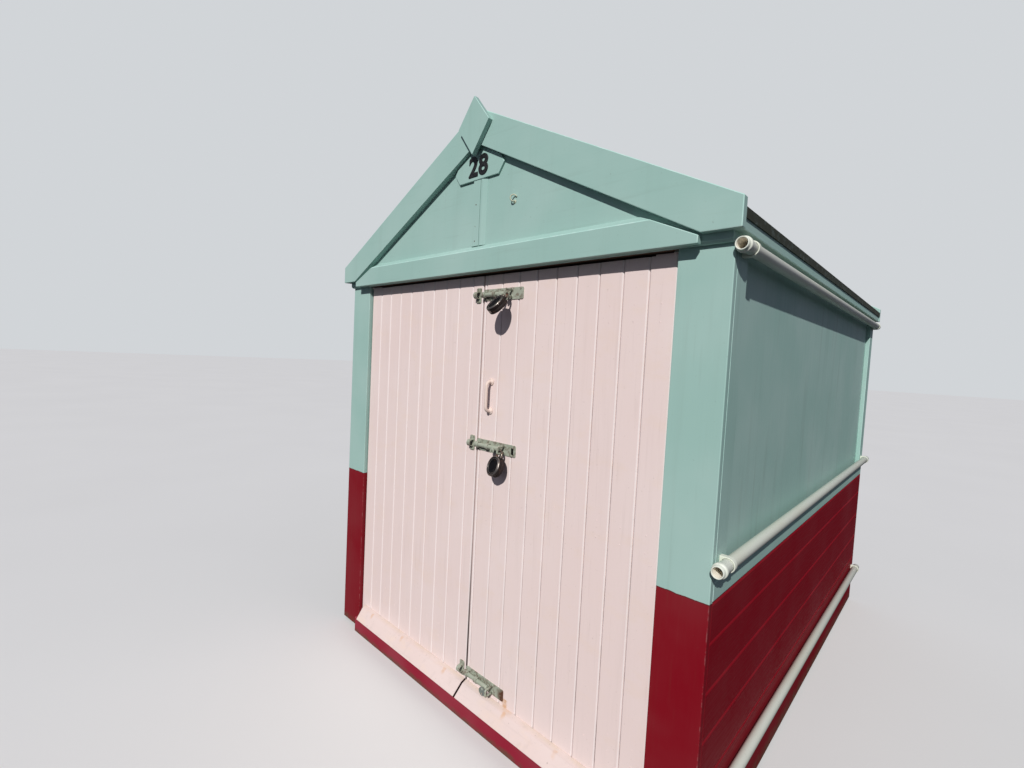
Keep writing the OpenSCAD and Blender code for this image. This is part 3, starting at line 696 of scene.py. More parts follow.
def grown(name, mesh, tree, values):
    """Runs a node tree on a mesh and returns the plain mesh that it makes."""
    holder = placed(name, mesh)
    modifier = holder.modifiers.new("grow", "NODES")
    modifier.node_group = tree
    for item in tree.interface.items_tree:
        if item.in_out == "INPUT" and item.name in values:
            modifier[item.identifier] = values[item.name]
    made = plain_mesh(holder)
    made.name = name
    return made


def row(name, bm, count, step, paints, play=(0, 0, 0), seed=1):
    """A row of copies of one board, as a plain mesh."""
    mark = bm.faces.layers.bool.new("edge")
    for f in bm.faces:
        f[mark] = f.material_index == 1
    values = {"Count": count, "Step": step, "Play": play, "Seed": seed,
              "Paint": paints[0], "Edge Paint": paints[1]}
    return grown(name, keep_mesh(name + "_one", bm), ROW, values)


def heads(name, points, radius, height, material, body, turn=(90, 0, 0), slot_w=0.0, seed=3):
    """Screw or nail heads at points."""
    mesh = bpy.data.meshes.new(name + "_points")
    mesh.from_pydata([tuple(p) for p in points], [], [])
    values = {"Head Radius": radius * MM, "Head Height": height * MM, "Slot Width": slot_w * MM,
              "Face Turn": tuple(math.radians(a) for a in turn), "Seed": seed, "Paint": material}
    show(name, grown(name, mesh, HEADS, values), body)


def joined(node, meshes):
    """Several meshes as the piece for one node; each keeps its materials."""
    bm = bmesh.new()
    materials = []
    for mesh in meshes:
        start = len(bm.faces)
        bm.from_mesh(mesh)
        bm.faces.ensure_lookup_table()
        for m in mesh.materials:
            if m not in materials:
                materials.append(m)
        index = [materials.index(m) for m in mesh.materials]
        for f in bm.faces[start:]:
            f.material_index = index[f.material_index]
    show_for(node, bm, materials)


# ---------------------------------------------------------------- boards
def node_copy(node):
    """The CAD solid of a node with its triangles merged into whole faces."""
    bm = bmesh.new()
    bm.from_mesh(frame["nodes"][node].data)
    bmesh.ops.remove_doubles(bm, verts=bm.verts, dist=1e-5)
    bmesh.ops.dissolve_limit(bm, angle_limit=math.radians(1), verts=bm.verts, edges=bm.edges)
    for f in bm.faces:
        f.material_index = 0
        f.smooth = False
    return bm


def at_front_foot(verts, lo):
    """Whether vertices lie on the lower front arris of a box that starts at lo."""
    return all(v.co.z < lo.z + NEAR and v.co.y < lo.y + NEAR for v in verts)


def planed(node, paints, width=1.6, segments=2):
    """A board as its solid, with rounded edges and paint."""
    bm = node_copy(node)
    round_edges(bm, width, segments)
    show_for(node, bm, paints)


def gable_panel(paints):
    """The gable's boarding; its lower front arris is cut back on a slope."""
    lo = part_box("gable_panel")[0]
    bm = node_copy("gable_panel")
    arris = [e for e in bm.edges if at_front_foot(e.verts, lo)]
    bmesh.ops.bevel(bm, geom=arris, offset=7 * MM, segments=1, affect="EDGES")
    round_edges(bm, 0.8)
    show_for("gable_panel", bm, paints)


def gable_strip(paints):
    """The strip over the gable's joint: a flat, a groove and a slope along its right side."""
    lo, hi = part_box("gable_strip")
    plan = [(0, 6), (0, 0.8), (0.8, 0), (35.2, 0), (36, 0.8), (36, 4.6), (39, 4.6), (39, 0.8), (39.8, 0),
            (48, 0), (51, 0.6), (69.4, 4.6), (70, 5.2), (70, 6)]
    bm = bmesh.new()
    add_prism(bm, [(lo.x + x, lo.y + y) for x, y in scaled_pairs(plan)], lo.z, hi.z, axis="z")
    show_for("gable_strip", bm, paints)


def walls_and_gable():
    upright = paint_pair("green_upright", GREEN, along="z")
    level = paint_pair("green_level", GREEN, along="x")
    deep = paint_pair("green_deep", GREEN, along="y")
    fall_right = paint_pair("green_slope_right", GREEN, along="x", turn=-PITCH)
    fall_left = paint_pair("green_slope_left", GREEN, along="x", turn=PITCH)
    front = paint_pair("front_boards", GREEN, wear_and_highlight=1.06, along="z", lower=(RED, WAIST), foot=0.10, gloss=0.13)
    base = paint_pair("red_level", BASE_RED_SKY_SHEEN, wear_and_highlight=1.12, along="x", grime=0.15, foot=0.05,
                      gloss=0.12, bloom=0.06)
    for side in ("left", "right"):
        planed("front_board_" + side, front, 2.2)
        planed("corner_boards_" + side, upright)
        planed("waist_rail_" + side, deep, 3, 3)
    planed("back_boards", front, 2.2)
    planed("waist_rail_back", level, 3, 3)
    gable_panel(level)
    gable_strip(upright)
    planed("drip_board", level, 1.8)
    planed("number_plate", level, 2.2)
    planed("finial", upright)
    for end in ("front", "back"):
        planed("bargeboard_%s_right" % end, fall_right, 2.2)
        planed("bargeboard_%s_left" % end, fall_left, 2.2)
    planed("eave_boards", deep, 2)
    planed("ridge_cap", deep, 2)
    planed("base_board", base, 2.2)


def wall_sheets():
    """Sheet in the walls, whose paint stops in its thickness."""
    for name, letter, nodes in (("side_skin", "X", ("side_sheet_left", "side_sheet_right")),
                                ("back_skin", "Y", ("back_sheet",))):
        inner, outer = (corner["XY".index(letter)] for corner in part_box(nodes[-1]))
        skin = two_sided_sheet(name, letter, inner + 2 * MM, outer - 2 * MM)
        for node in nodes:
            planed(node, (skin, skin), 0.8)


def shiplap(bm, length, thick, height):
    """One shiplap board along X: its face at y = 0, its lower edge at z = 0, scooped at the top."""
    hollow = 9 * MM
    lip = 1.2 * MM
    scoop_z = height - 1 * MM
    outline = [(lip, 0), (0, lip)]
    for i in range(7):
        a = math.radians(15 * i)
        outline.append((0.45 * thick * math.sin(a), scoop_z - hollow * math.cos(a)))
    outline += [(thick, scoop_z), (thick, 0)]
    add_prism(bm, outline, -length / 2, length / 2, axis="x")


def lower_cladding():
    """Red shiplap on the side and back walls, board by board."""
    course = 134 * MM
    for side, turn in (("right", 90), ("left", -90), ("back", 180)):
        node = "lower_cladding_" + side
        lo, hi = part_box(node)
        wide, deep, total = (b - a for a, b in zip(lo, hi))
        middle = (lo.y + hi.y) / 2
        if side == "back":
            way, length, thick, face = "x", wide, deep, (0, hi.y)
        else:
            way, length, thick, face = "y", deep, wide, (hi.x if side == "right" else lo.x, middle)
        paints = paint_pair("red_rows_" + way, RED, along=way, grime=0.15, foot=0.14,
                            gloss=0.09, bloom=0.025)
        full = int(total / course)
        meshes = []
        for count, height, z in ((full, course, lo.z), (1, total - full * course, lo.z + full * course)):
            bm = bmesh.new()
            shiplap(bm, length, thick, height)
            bm.transform(moved(*face, z) @ turned(turn, "Z"))
            meshes.append(row(node, bm, count, (0, 0, course), paints))
        joined(node, meshes)


def floor_boards():
    """Nailed boards across the hut."""
    lo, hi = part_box("floor")
    count = 19
    half_joint = 0.8 * MM
    pitch = (hi.y - lo.y) / count
    wood = bare_timber("floor_timber", "x", FLOOR_WOOD)
    bm = bmesh.new()
    add_box(bm, (lo.x, lo.y + half_joint, lo.z), (hi.x, lo.y + pitch - half_joint, hi.z))
    round_edges(bm, 1.2)
    boards = row("floor_boards", bm, count, (0, pitch, 0), (wood, wood))
    show("floor-boards", boards, "hut", ("floor",))
    points = []
    for i in range(count):
        for x in (-0.7, 0.0, 0.7):
            for dy in (0.25, 0.75):
                points.append((x, lo.y + (i + dy) * pitch, hi.z - 0.6 * MM))
    heads("floor-nails", points, 3, 1, steel("nail_steel"), "hut", turn=(0, 0, 0))


def inside_timber():
    """Wall frames, head beam, rafters, and the bearers with a strip under the floor's edge."""
    upright = bare_timber("stud_timber", "z")
    level = bare_timber("beam_timber", "x")
    deep = bare_timber("ridge_timber", "y")
    # The head beam's dark wood is painted shade.
    shaded_wood = bare_timber("head_timber_painted_shade", "x", HEAD_BEAM_SHADE_WOOD)
    for node, wood in (("side_frame_left", upright), ("side_frame_right", upright), ("back_frame", upright),
                       ("head_beam", shaded_wood), ("roof_frame", level)):
        planed(node, (wood, wood), 1.5)
    bm = node_copy("bearers")
    strip_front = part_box("base_board")[1].y + 44 * MM
    strip_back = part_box("floor")[0].y + 20 * MM
    half = OPENING - 2 * MM
    add_box(bm, (-half, strip_front, 30 * MM), (half, strip_back, BEARER_H - 0.3 * MM))
    round_edges(bm, 1.5)
    show_for("bearers", bm, (deep, deep))


def slope_outline(sign, top, corners):
    """Corners given as (distance down the slope, depth below its top), as x and z."""
    out = []
    for along, deep in corners:
        x = along * math.cos(PITCH) - deep * math.sin(PITCH)
        z = top - along * math.sin(PITCH) - deep * math.cos(PITCH)
        out.append((sign * min(max(x, 0.0), EAVE_X), z))
    return out


def band(a, b, low, high):
    """The corners of a layer on the slope between two distances and two depths."""
    return [(a, low), (b, low), (b, high), (a, high)]


def roof_boards(sign, lo, hi, wood):
    """Boards along the hut, side by side down a slope."""
    count = 10
    width = ROOF_RUN / count
    half_joint = 0.5 * MM
    bm = bmesh.new()
    for i in range(count):
        start, end = i * width + half_joint, (i + 1) * width - half_joint
        board = band(start, end, ROOF_T - NEAR, FELT_STRIPS * FELT_T)
        add_prism(bm, slope_outline(sign, hi.z, board), lo.y + 1 * MM, hi.y - 1 * MM)
    return keep_mesh("boards", bm, (wood,))


def roof_skins(sign, lo, hi, felt):
    """Strips of felt, lapped down the slope and turned down over its foot."""
    lap = 60 * MM
    flap_h = 25 * MM
    inner = EAVE_X - 2.4 * MM
    bm = bmesh.new()
    for k in range(FELT_STRIPS):
        start = max(0.0, k * ROOF_RUN / FELT_STRIPS - lap)
        end = (k + 1) * ROOF_RUN / FELT_STRIPS + (2 * MM if k == FELT_STRIPS - 1 else 0)
        top = k * FELT_T
        add_prism(bm, slope_outline(sign, hi.z, band(start, end, top + FELT_T, top)), lo.y, hi.y)
    foot = hi.z - EAVE_X * math.tan(PITCH)
    flap = [(inner, foot - flap_h), (EAVE_X, foot - flap_h), (EAVE_X, foot), (inner, foot)]
    add_prism(bm, [(sign * x, z) for x, z in flap], lo.y, hi.y)
    return keep_mesh("skins", bm, (felt,))


def roof():
    """Boards under felt on both slopes, with clout nails along each strip's lower edge."""
    felt = roofing_felt("roof_felt")
    wood = bare_timber("roof_timber", "y")
    zinc = steel("clout_zinc", ZINC, 0.4)
    lo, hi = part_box("roof_right")
    edge = 50 * MM
    for side, sign in (("left", -1), ("right", 1)):
        joined("roof_" + side, [roof_boards(sign, lo, hi, wood), roof_skins(sign, lo, hi, felt)])
        clouts = []
        for k in range(FELT_STRIPS):
            along = (k + 1) * ROOF_RUN / FELT_STRIPS - 16 * MM
            x, z = slope_outline(sign, hi.z, [(along, k * FELT_T - 0.1 * MM)])[0]
            for i in range(24):
                clouts.append((x, lo.y + edge + i * (hi.y - lo.y - 2 * edge) / 23, z))
        heads("roof-nails-" + side, clouts, 5, 0.9, zinc, "hut",
              turn=(0, sign * math.degrees(PITCH), 0), seed=21)


# ---------------------------------------------------------------- doors
def door_board(a, b):
    """One board with shallow V edges, whose slopes take the edge paint."""
    wide, deep, back = 3.8 * MM, 3.4 * MM, 1 * MM
    a, b = a + BOARD_JOINT / 2, b - BOARD_JOINT / 2
    y0, y1 = DOOR_FACE, DOOR_BACK
    outline = [(a + wide, y0), (b - wide, y0), (b, y0 + deep), (b, y1 - back), (b - back, y1),
               (a + back, y1), (a, y1 - back), (a, y0 + deep)]
    bm = bmesh.new()
    faces = add_prism(bm, outline, LEAF_Z0, LEAF_Z1, axis="z")
    finish([f for f in faces if f.normal.y < -0.5 and abs(f.normal.x) > 0.1], 1)
    return bm


def leaf_back(edges, toward):
    """Ledges, braces, the core behind the boards' joints and the pivots' sockets."""
    core = 6 * MM
    bm = bmesh.new()
    add_box(bm, (edges[0] + core, DOOR_FACE + core, LEAF_Z0 + 4 * MM),
            (edges[1] - core, DOOR_BACK - 3 * MM, LEAF_Z1 - 4 * MM))
    x0, x1 = edges[0] + 60 * MM, edges[1] - 60 * MM
    for z in LEDGE_Z:
        add_box(bm, (x0, DOOR_BACK, z), (x1, DOOR_BACK + LEDGE_T, z + LEDGE_W))
    hinge, lock = (x0, x1) if toward > 0 else (x1, x0)
    across = toward * LEDGE_W
    for low, high in zip(LEDGE_Z, LEDGE_Z[1:]):
        foot = low + LEDGE_W
        brace = [(hinge, foot), (hinge + across, foot), (lock, high), (lock - across, high)]
        add_prism(bm, brace, DOOR_BACK, DOOR_BACK + LEDGE_T)
    round_edges(bm, 1.5)
    axis_x = -toward * AXIS_X
    near, far = sorted((axis_x + toward * 6 * MM, axis_x + toward * 60 * MM))
    washer = [(4.08, 0), (7, 0), (7, 4), (4.08, 4), (4.08, 0)]
    for z in (LEAF_Z0 - WASHER_T, LEAF_Z1):
        add_lathe(bm, washer, moved(axis_x, DOOR_FACE, z), 32)
        add_box(bm, (near, DOOR_FACE + 1 * MM, z), (far, DOOR_BACK, z + WASHER_T))
    return keep_mesh("ledges", bm, paint_pair("door_ledges", PINK, along="x", grime=0.22))


def leaf(side, edges, strip):
    """A leaf of grooved boards, one of them a narrow strip, with its ledges and nails."""
    node = "door_" + side
    left = side == "left"
    # The doors' paint: a paler pink on the grooves' slopes as painted highlight, and on the right leaf
    # painted shade beside each joint.
    paint_effects = {"wear_and_highlight": 1.03, "arris": ARRIS_PINK_HIGHLIGHT, "grime": 0.16, "foot": 0.12, "cream": 0.12,
              "joint": (MEET_X, 0.9, 0.12)}
    first, last = (edges[0], edges[1] - strip) if left else (edges[0] + strip, edges[1])
    pitch = (last - first) / BOARDS
    if not left:
        run = (BOLT_X + 206 * MM, BOLTS["bottom"] - 8 * MM, 80 * MM, 17 * MM, 0.8)
        paint_effects.update(runs=(run,), cracks=(first, pitch))
    pink = paint_pair("door_boards_" + side, PINK, along="z", **paint_effects)
    step = (pitch, 0, 0)
    boards = row(node + "_boards", door_board(first, first + pitch), BOARDS, step, pink,
                 play=(0, 0.25 * MM, 0), seed=5)
    ends = (last, edges[1]) if left else (edges[0], first)
    narrow = row(node + "_strip", door_board(*ends), 1, step, pink)
    joined(node, [boards, narrow, leaf_back(edges, 1 if left else -1)])
    points = []
    for z in LEDGE_Z:
        for i in range(BOARDS):
            for dz in (0.27, 0.73):
                points.append((first + (i + 0.5) * pitch, DOOR_FACE + 0.1 * MM, z + dz * LEDGE_W))
    heads("door-%s-nails" % side, points, 2.2, 0.45, pink[0], BODY_OF[node], seed=8)


def weatherboards():
    """Sloped boards over the foot of the leaves, cut back under their front edge."""
    lip = 14 * MM
    paint_effects = [(BOLT_X + 222 * MM, 150 * MM, 26 * MM, 34 * MM, 0.8)]
    for x in (-637, -389, -96, 240, 470, 690):
        paint_effects.append((x * MM, 129 * MM, 18 * MM, 11 * MM, 0.5))
    boards = paint_pair("weatherboards", WEATHERBOARD_PINK_SHADED, wear_and_highlight=1.02, along="x", grime=0.45, foot=0.13,
                        cream=0.22, joint=(MEET_X, 1.0, 1.0), seam=WEATHERBOARD_TOP, runs=paint_effects)
    for node in ("weatherboard_left", "weatherboard_right"):
        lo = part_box(node)[0]
        bm = node_copy(node)
        for v in bm.verts:
            if at_front_foot([v], lo):
                v.co.y += lip
        round_edges(bm, 2, 3)
        show_for(node, bm, boards)


# ---------------------------------------------------------------- bolts and padlocks
def on_door(x, out, z, rise=0):
    """A place x across and out from the doors' face, rise above the height z."""
    return Vector((BOLT_X + x * MM, DOOR_FACE - out * MM, z + rise * MM))


def rounded(x0, x1, z, low, high, r):
    """The outline, as x and z, of a rectangle with round corners."""
    out = []
    left, right, foot, top = x0 + r, x1 - r, low + r, high - r
    for cx, cz, start in ((right, top, 0), (left, top, 90), (left, foot, 180), (right, foot, 270)):
        for i in range(6):
            a = math.radians(start + 18 * i)
            spot = on_door(cx + r * math.cos(a), 0, z, cz + r * math.sin(a))
            out.append((spot.x, spot.z))
    return out


def add_strap(bm, x0, x1, z, out_r, in_r, foot):
    """A band bent over the rod with a foot on each side."""
    angles = [math.radians(-90 + 11.25 * i) for i in range(17)]
    outer = [(ROD_OUT + out_r * math.cos(a), out_r * math.sin(a)) for a in angles]
    inner = [(ROD_OUT + in_r * math.cos(a), in_r * math.sin(a)) for a in reversed(angles)]
    profile = [(PLATE_T, -foot), (STRAP_TOP, -foot), (STRAP_TOP, -out_r), *outer, (STRAP_TOP, out_r),
               (STRAP_TOP, foot), (PLATE_T, foot), (PLATE_T, in_r), *inner, (PLATE_T, -in_r)]
    outline = [(DOOR_FACE - out * MM, z + up * MM) for out, up in profile]
    add_prism(bm, outline, BOLT_X + x0 * MM, BOLT_X + x1 * MM, axis="x")


def bolt_plate(bm, z, slot):
    """The long plate, with an upright slot at its far end where the bolt has one."""
    front = DOOR_FACE - PLATE_T * MM
    outline = rounded(1, PLATE_L, z, -PLATE_HALF_H, PLATE_HALF_H, 6)
    if not slot:
        add_prism(bm, outline, front, DOOR_FACE)
        return
    loops = []
    for shape in (outline, rounded(177.5, 190, z, -14, 10, 4)):
        loops.append([bm.verts.new((x, front, h)) for x, h in shape])
    edges = [bm.edges.new((v, loop[(i + 1) % len(loop)])) for loop in loops for i, v in enumerate(loop)]
    bmesh.ops.triangle_fill(bm, use_beauty=True, edges=edges)
    bmesh.ops.dissolve_limit(bm, angle_limit=0.01, verts=bm.verts, edges=bm.edges)
    for loop in loops:
        far = [bm.verts.new((v.co.x, DOOR_FACE, v.co.z)) for v in loop]
        for i in range(len(loop)):
            j = (i + 1) % len(loop)
            bm.faces.new((loop[i], loop[j], far[j], far[i]))
    bmesh.ops.recalc_face_normals(bm, faces=bm.faces)


def staple(bm, z):
    """The eye for the padlock: a round bar bent to a hoop that stands on the plate."""
    half, bend, reach = 12, 6, 33
    points = [(PLATE_T, -half), (20, -half), (reach, -half)]
    for i in range(1, 7):
        a = math.radians(-90 + 15 * i)
        points.append((reach + bend * math.cos(a), -bend + bend * math.sin(a)))
    points += [(out, -h) for out, h in reversed(points)]
    add_tube(bm, [on_door(STAPLE_X, out, z, h) for out, h in points], 3.9, 12)
    for h in (-half, half):
        collar = [(0, 0), (6.5, 0), (6.2, 1), (4, 1.8), (0, 1.8)]
        add_lathe(bm, collar, facing_front(*on_door(STAPLE_X, PLATE_T, z, h)), 20)


def bolt_housings():
    """Plates, guides and staples of the three bolts, with their screws."""
    rims = [(z, PLATE_HALF_H * MM) for z in BOLTS.values()]
    rust_at = (on_door(204, 2, BOLTS["bottom"], -4), 40 * MM)
    aged = painted_steel("bolt_paint", STEEL_PAINT, 0.04, rims=rims)
    rusted = painted_steel("bolt_paint_rusted", STEEL_PAINT, 0.10, rust_at, rims)
    meshes = []
    screws = []
    for name, z in BOLTS.items():
        bm = bmesh.new()
        bolt_plate(bm, z, name == "middle")
        round_edges(bm, 0.7, 2, 40)
        for x0, x1 in ((4, 24), (62, 76)):
            guide = bmesh.new()
            add_strap(guide, x0, x1, z, 11, 8.3, 19)
            round_edges(guide, 0.6, 2, 40)
            bm.from_mesh(keep_mesh("guide", guide))
        staple(bm, z)
        finish(bm.faces, 0)
        meshes.append(keep_mesh("housing", bm, (rusted if name == "bottom" else aged,)))
        rows = [(34, 15), (49, 15), (108, 16), (34, -15), (49, -15), (108, -16)]
        if name != "middle":
            rows += [(186, 13), (184, -13)]
        screws += [on_door(x, PLATE_T, z, h) for x, h in rows]
        screws += [on_door(x, STRAP_TOP, z, h) for x in (14, 69) for h in (-15.5, 15.5)]
    joined("bolt_housings", meshes)
    heads("bolt-screws", screws, 4.2, 1.6, aged, "door_right", slot_w=1.1, seed=11)


def slot_shade_sheet():
    """A thin black sheet on the door's face behind the slot in the middle bolt's plate: painted shade for
    the slot's depth.
    """
    dark = lock_iron("bolt_slot_dark", srgb(12, 12, 12), 0.0)
    bm = bmesh.new()
    outline = rounded(175.5, 192, BOLTS["middle"], -16, 12, 4)
    add_prism(bm, outline, DOOR_FACE - 0.4 * MM, DOOR_FACE + 0.5 * MM)
    show("bolt-slot-recess", keep_mesh("slot_shade_mesh", bm, (dark,)), "door_right")


def bolt_keeps():
    """The plates and bands on the left leaf that take the rods."""
    rims = [(z, KEEP_HALF_H * MM) for z in BOLTS.values()]
    aged = painted_steel("keep_paint", STEEL_PAINT, 0.12, rims=rims)
    bm = bmesh.new()
    screws = []
    for z in BOLTS.values():
        plate = rounded(-38, -12, z, -KEEP_HALF_H, KEEP_HALF_H, 6)
        add_prism(bm, plate, DOOR_FACE - PLATE_T * MM, DOOR_FACE)
        add_strap(bm, -34, -16, z, 13, 10, 26)
        screws += [on_door(-25, STRAP_TOP, z, h) for h in (-20.5, 20.5)]
    round_edges(bm, 0.6, 2, 40)
    show_for("bolt_keeps", bm, (aged, aged))
    heads("keep-screws", screws, 3.6, 1.4, aged, "door_left", slot_w=1.0, seed=12)


def hanging_eye(x, z, r):
    """The pear-shaped eye, with its hole below the middle, that hangs on a rod's peg."""
    sides = 32
    drop = r - 7
    outer, hole = [], []
    for i in range(sides):
        a = 2 * math.pi * i / sides
        pinch = 1.0 - 0.16 * max(0.0, math.sin(a)) ** 2
        outer.append((r * pinch * math.cos(a), r * math.sin(a)))
        hole.append((r / 3 * math.cos(a), r / 3 * math.sin(a) - 0.65 * drop - r / 4))
    middle = on_door(x, ROD_OUT + 13.08, z, -3) - Vector((0, 0, drop * MM))
    bm = bmesh.new()
    rings = []
    for loop in (outer, hole):
        spots = [(middle.x + dx, middle.y, middle.z + dz) for dx, dz in scaled_pairs(loop)]
        rings.append([bm.verts.new(spot) for spot in spots])
    faces = []
    for i in range(sides):
        j = (i + 1) % sides
        faces.append(bm.faces.new((rings[0][i], rings[0][j], rings[1][j], rings[1][i])))
    made = bmesh.ops.extrude_face_region(bm, geom=faces)["geom"]
    front = [v for v in made if isinstance(v, bmesh.types.BMVert)]
    bmesh.ops.translate(bm, verts=front, vec=(0, -3 * MM, 0))
    bmesh.ops.recalc_face_normals(bm, faces=bm.faces)
    round_edges(bm, 0.7, 2, 40)
    finish(bm.faces, 1)
    return keep_mesh("eye", bm)


def bolt_rods():
    """Each rod has a domed nose, a peg and the eye that hangs on it."""
    rod = [(0, 2), (5.2, 2.3), (7.2, 3.8), (ROD_R, 7), (ROD_R, 124), (7.4, 127), (6, 128), (0, 128)]
    peg = [(0, 0), (4, 0), (4, 13.2), (5.4, 13.2), (5.4, 15.4), (4.4, 16.3), (0, 16.6)]
    for name, peg_x, eye_r, colour in (("bottom", 117, 16, EYE_PAINT), ("middle", 108, 10, STEEL_PAINT),
                                       ("top", 108, 10, STEEL_PAINT)):
        z = BOLTS[name]
        bm = bmesh.new()
        add_lathe(bm, rod, moved(*on_door(0, ROD_OUT, z)) @ turned(90, "Y"), 32)
        add_lathe(bm, peg, facing_front(*on_door(peg_x, ROD_OUT, z, -3)), 20)
        bm.from_mesh(hanging_eye(peg_x, z, eye_r))
        aged = painted_steel("rod_paint_" + name, STEEL_PAINT, 0.12)
        hung = painted_steel("eye_paint_" + name, colour, 0.15)
        show_for("bolt_" + name, bm, (aged, hung), "bolt-rod-" + name)


def padlock(name, z, out, swing, turn):
    """A round-bodied lock: dark face, a bright worn edge, a brown rim and a steel shackle.

    out is how far it hangs from the doors' face; swing and turn are in degrees.
    """
    black, bright, brown, bar = range(4)
    materials = (lock_iron(name + "_face", srgb(9, 9, 12), 0.0),
                 steel(name + "_edge", srgb(158, 150, 142), 0.5),
                 lock_iron(name + "_rim", srgb(44, 37, 36), 0.18),
                 steel(name + "_shackle", srgb(138, 130, 120), 0.8))
    r, half, drop = 37, 13.5, 57
    face = [(0, half - 1.6), (12, half - 1.4), (26.4, half - 1.9)]
    inner = [(26.4, half - 1.9), (26.8, half - 1.1), (28, half - 1.1), (28.5, half - 2.2)]
    trough = [(28.5, half - 2.2), (30.6, half - 2.4), (31.4, half - 0.3)]
    edge = [(31.4, half - 0.3), (32.2, half), (34.2, half), (36.2, half - 1.2), (r, half - 3.2)]
    rim = [(r, half - 3.2), (r, 1.4), (36.2, 0.8), (36.2, -0.8), (r, -1.4), (r, 3.2 - half)]
    back = [(r, 3.2 - half), (36, 1 - half), (34, -half), (12, -half), (0, -half)]
    place = moved(*on_door(STAPLE_X, out, z, -3.98)) @ turned(turn, "Z") @ turned(swing, "X")
    disc = place @ moved(0, 0, -drop * MM) @ turned(90, "X")
    bm = bmesh.new()
    for profile, index in ((face, black), (inner, bright), (trough, black), (edge, bright),
                           (rim, brown), (back, brown)):
        add_lathe(bm, profile, disc, 56, index)
    weld(bm)
    bow_r = 14 * MM
    bow = [Vector((-bow_r, 0, -32 * MM)), Vector((-bow_r, 0, -20 * MM))]
    bow += arc((0, 0, -bow_r), bow_r, 180, 0, ((1, 0, 0), (0, 0, 1)), 16)
    bow += [Vector((bow_r, 0, -20 * MM)), Vector((bow_r, 0, -32 * MM))]
    add_tube(bm, [place @ p for p in bow], 4, 14, bar)
    collar = [(0, -3), (6.4, -3), (6.4, 1.6), (5.4, 2.4), (0, 2.4)]
    for x in (-bow_r, bow_r):
        add_lathe(bm, collar, place @ moved(x, 0, -23.4 * MM), 20, brown)
    plug = [(0, -3), (6.2, -3), (6.2, -0.2), (5, 0), (1.4, 0), (1.2, -2), (0, -2)]
    add_lathe(bm, plug, place @ moved(0, 0, (-drop - r) * MM) @ turned(180, "X"), 24, bright)
    rivet = [(0, 0), (3.4, 0), (3.0, 1.1), (1.6, 1.7), (0, 1.9)]
    for i in range(4):
        a = math.radians(45 + 90 * i)
        spot = moved(22 * MM * math.cos(a), 22 * MM * math.sin(a), (half - 2) * MM)
        add_lathe(bm, rivet, disc @ spot, 16, black)
    show_for(name, bm, materials)


def pull_handle():
    """A bow of round bar on two screwed roses, under the doors' paint."""
    coat = paint_pair("handle_paint", HANDLE_PINK, along="z", grime=0.6)[0]
    lo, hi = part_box("pull_handle")
    x = (lo.x + hi.x) / 2
    rose_r, bend = 13 * MM, 16 * MM
    low, high = lo.z + rose_r, hi.z - rose_r
    y = DOOR_FACE - 25 * MM + bend
    plane = ((0, 1, 0), (0, 0, 1))
    bow = [Vector((x, DOOR_FACE - 2 * MM, low)), Vector((x, y, low))]
    bow += arc((x, y, low + bend), bend, 270, 180, plane, 8)[1:]
    bow += arc((x, y, high - bend), bend, 180, 90, plane, 8)
    bow += [Vector((x, DOOR_FACE - 2 * MM, high))]
    rose = [(0, 0), (13, 0), (13, 2.2), (11.6, 3.6), (9, 4), (7.4, 5.4), (6.2, 8), (0, 8)]
    bm = bmesh.new()
    add_tube(bm, bow, 6, 16)
    screws = []
    for z in (low, high):
        add_lathe(bm, rose, facing_front(x, DOOR_FACE, z), 32)
        screws += [(x + dx * MM, DOOR_FACE - 3.8 * MM, z) for dx in (-9.4, 9.4)]
    show_for("pull_handle", bm, (coat,))
    heads("pull-screws", screws, 2.4, 1.2, coat, "door_right", slot_w=0.7, seed=14)


def pivots():
    """The pins that carry the leaves, which stay as their solids."""
    node = frame["nodes"]["door_pivots"]
    node.data.materials.clear()
    node.data.materials.append(steel("pivot_steel", rust=0.35))


# ---------------------------------------------------------------- pipes
def pipes():
    """Plastic pipes along the right wall, open at the front in a collar."""
    plastic = pipe_plastic("pipe_plastic", PIPE)
    # The bore's plastic is paler: painted light inside the pipes.
    inside = pipe_plastic("pipe_inside_painted_light", PIPE_INSIDE_LIT)
    mouth = [(13.2, 1.6), (13.6, 0.5), (14.4, 0), (15.8, 0), (16.4, 0.7), (16.4, 11), (17.2, 13.4),
             (19.2, 14.2), (20, 15.4), (20, 24), (19.4, 25.4), (17.6, 27), (16.9, 30), (16.8, 58),
             (16.4, 60)]
    for name in ("pipe_bottom", "pipe_middle", "pipe_top"):
        lo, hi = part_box(name)
        end = 1000 * (hi.y - lo.y)
        outer = mouth + [(16.4, end - 0.8), (15.8, end), (14.0, end), (13.2, end - 1)]
        inner = [(13.2, end - 1), (13.2, end - 30), (13.2, 40), (13.2, 1.6)]
        place = moved((lo.x + hi.x) / 2, lo.y, (lo.z + hi.z) / 2) @ turned(-90, "X")
        bm = bmesh.new()
        add_lathe(bm, outer, place, 40)
        add_lathe(bm, inner, place, 40, 1)
        weld(bm)
        show_for(name, bm, (plastic, inside))
    planed("pipe_clips", (plastic, plastic), 0.8)


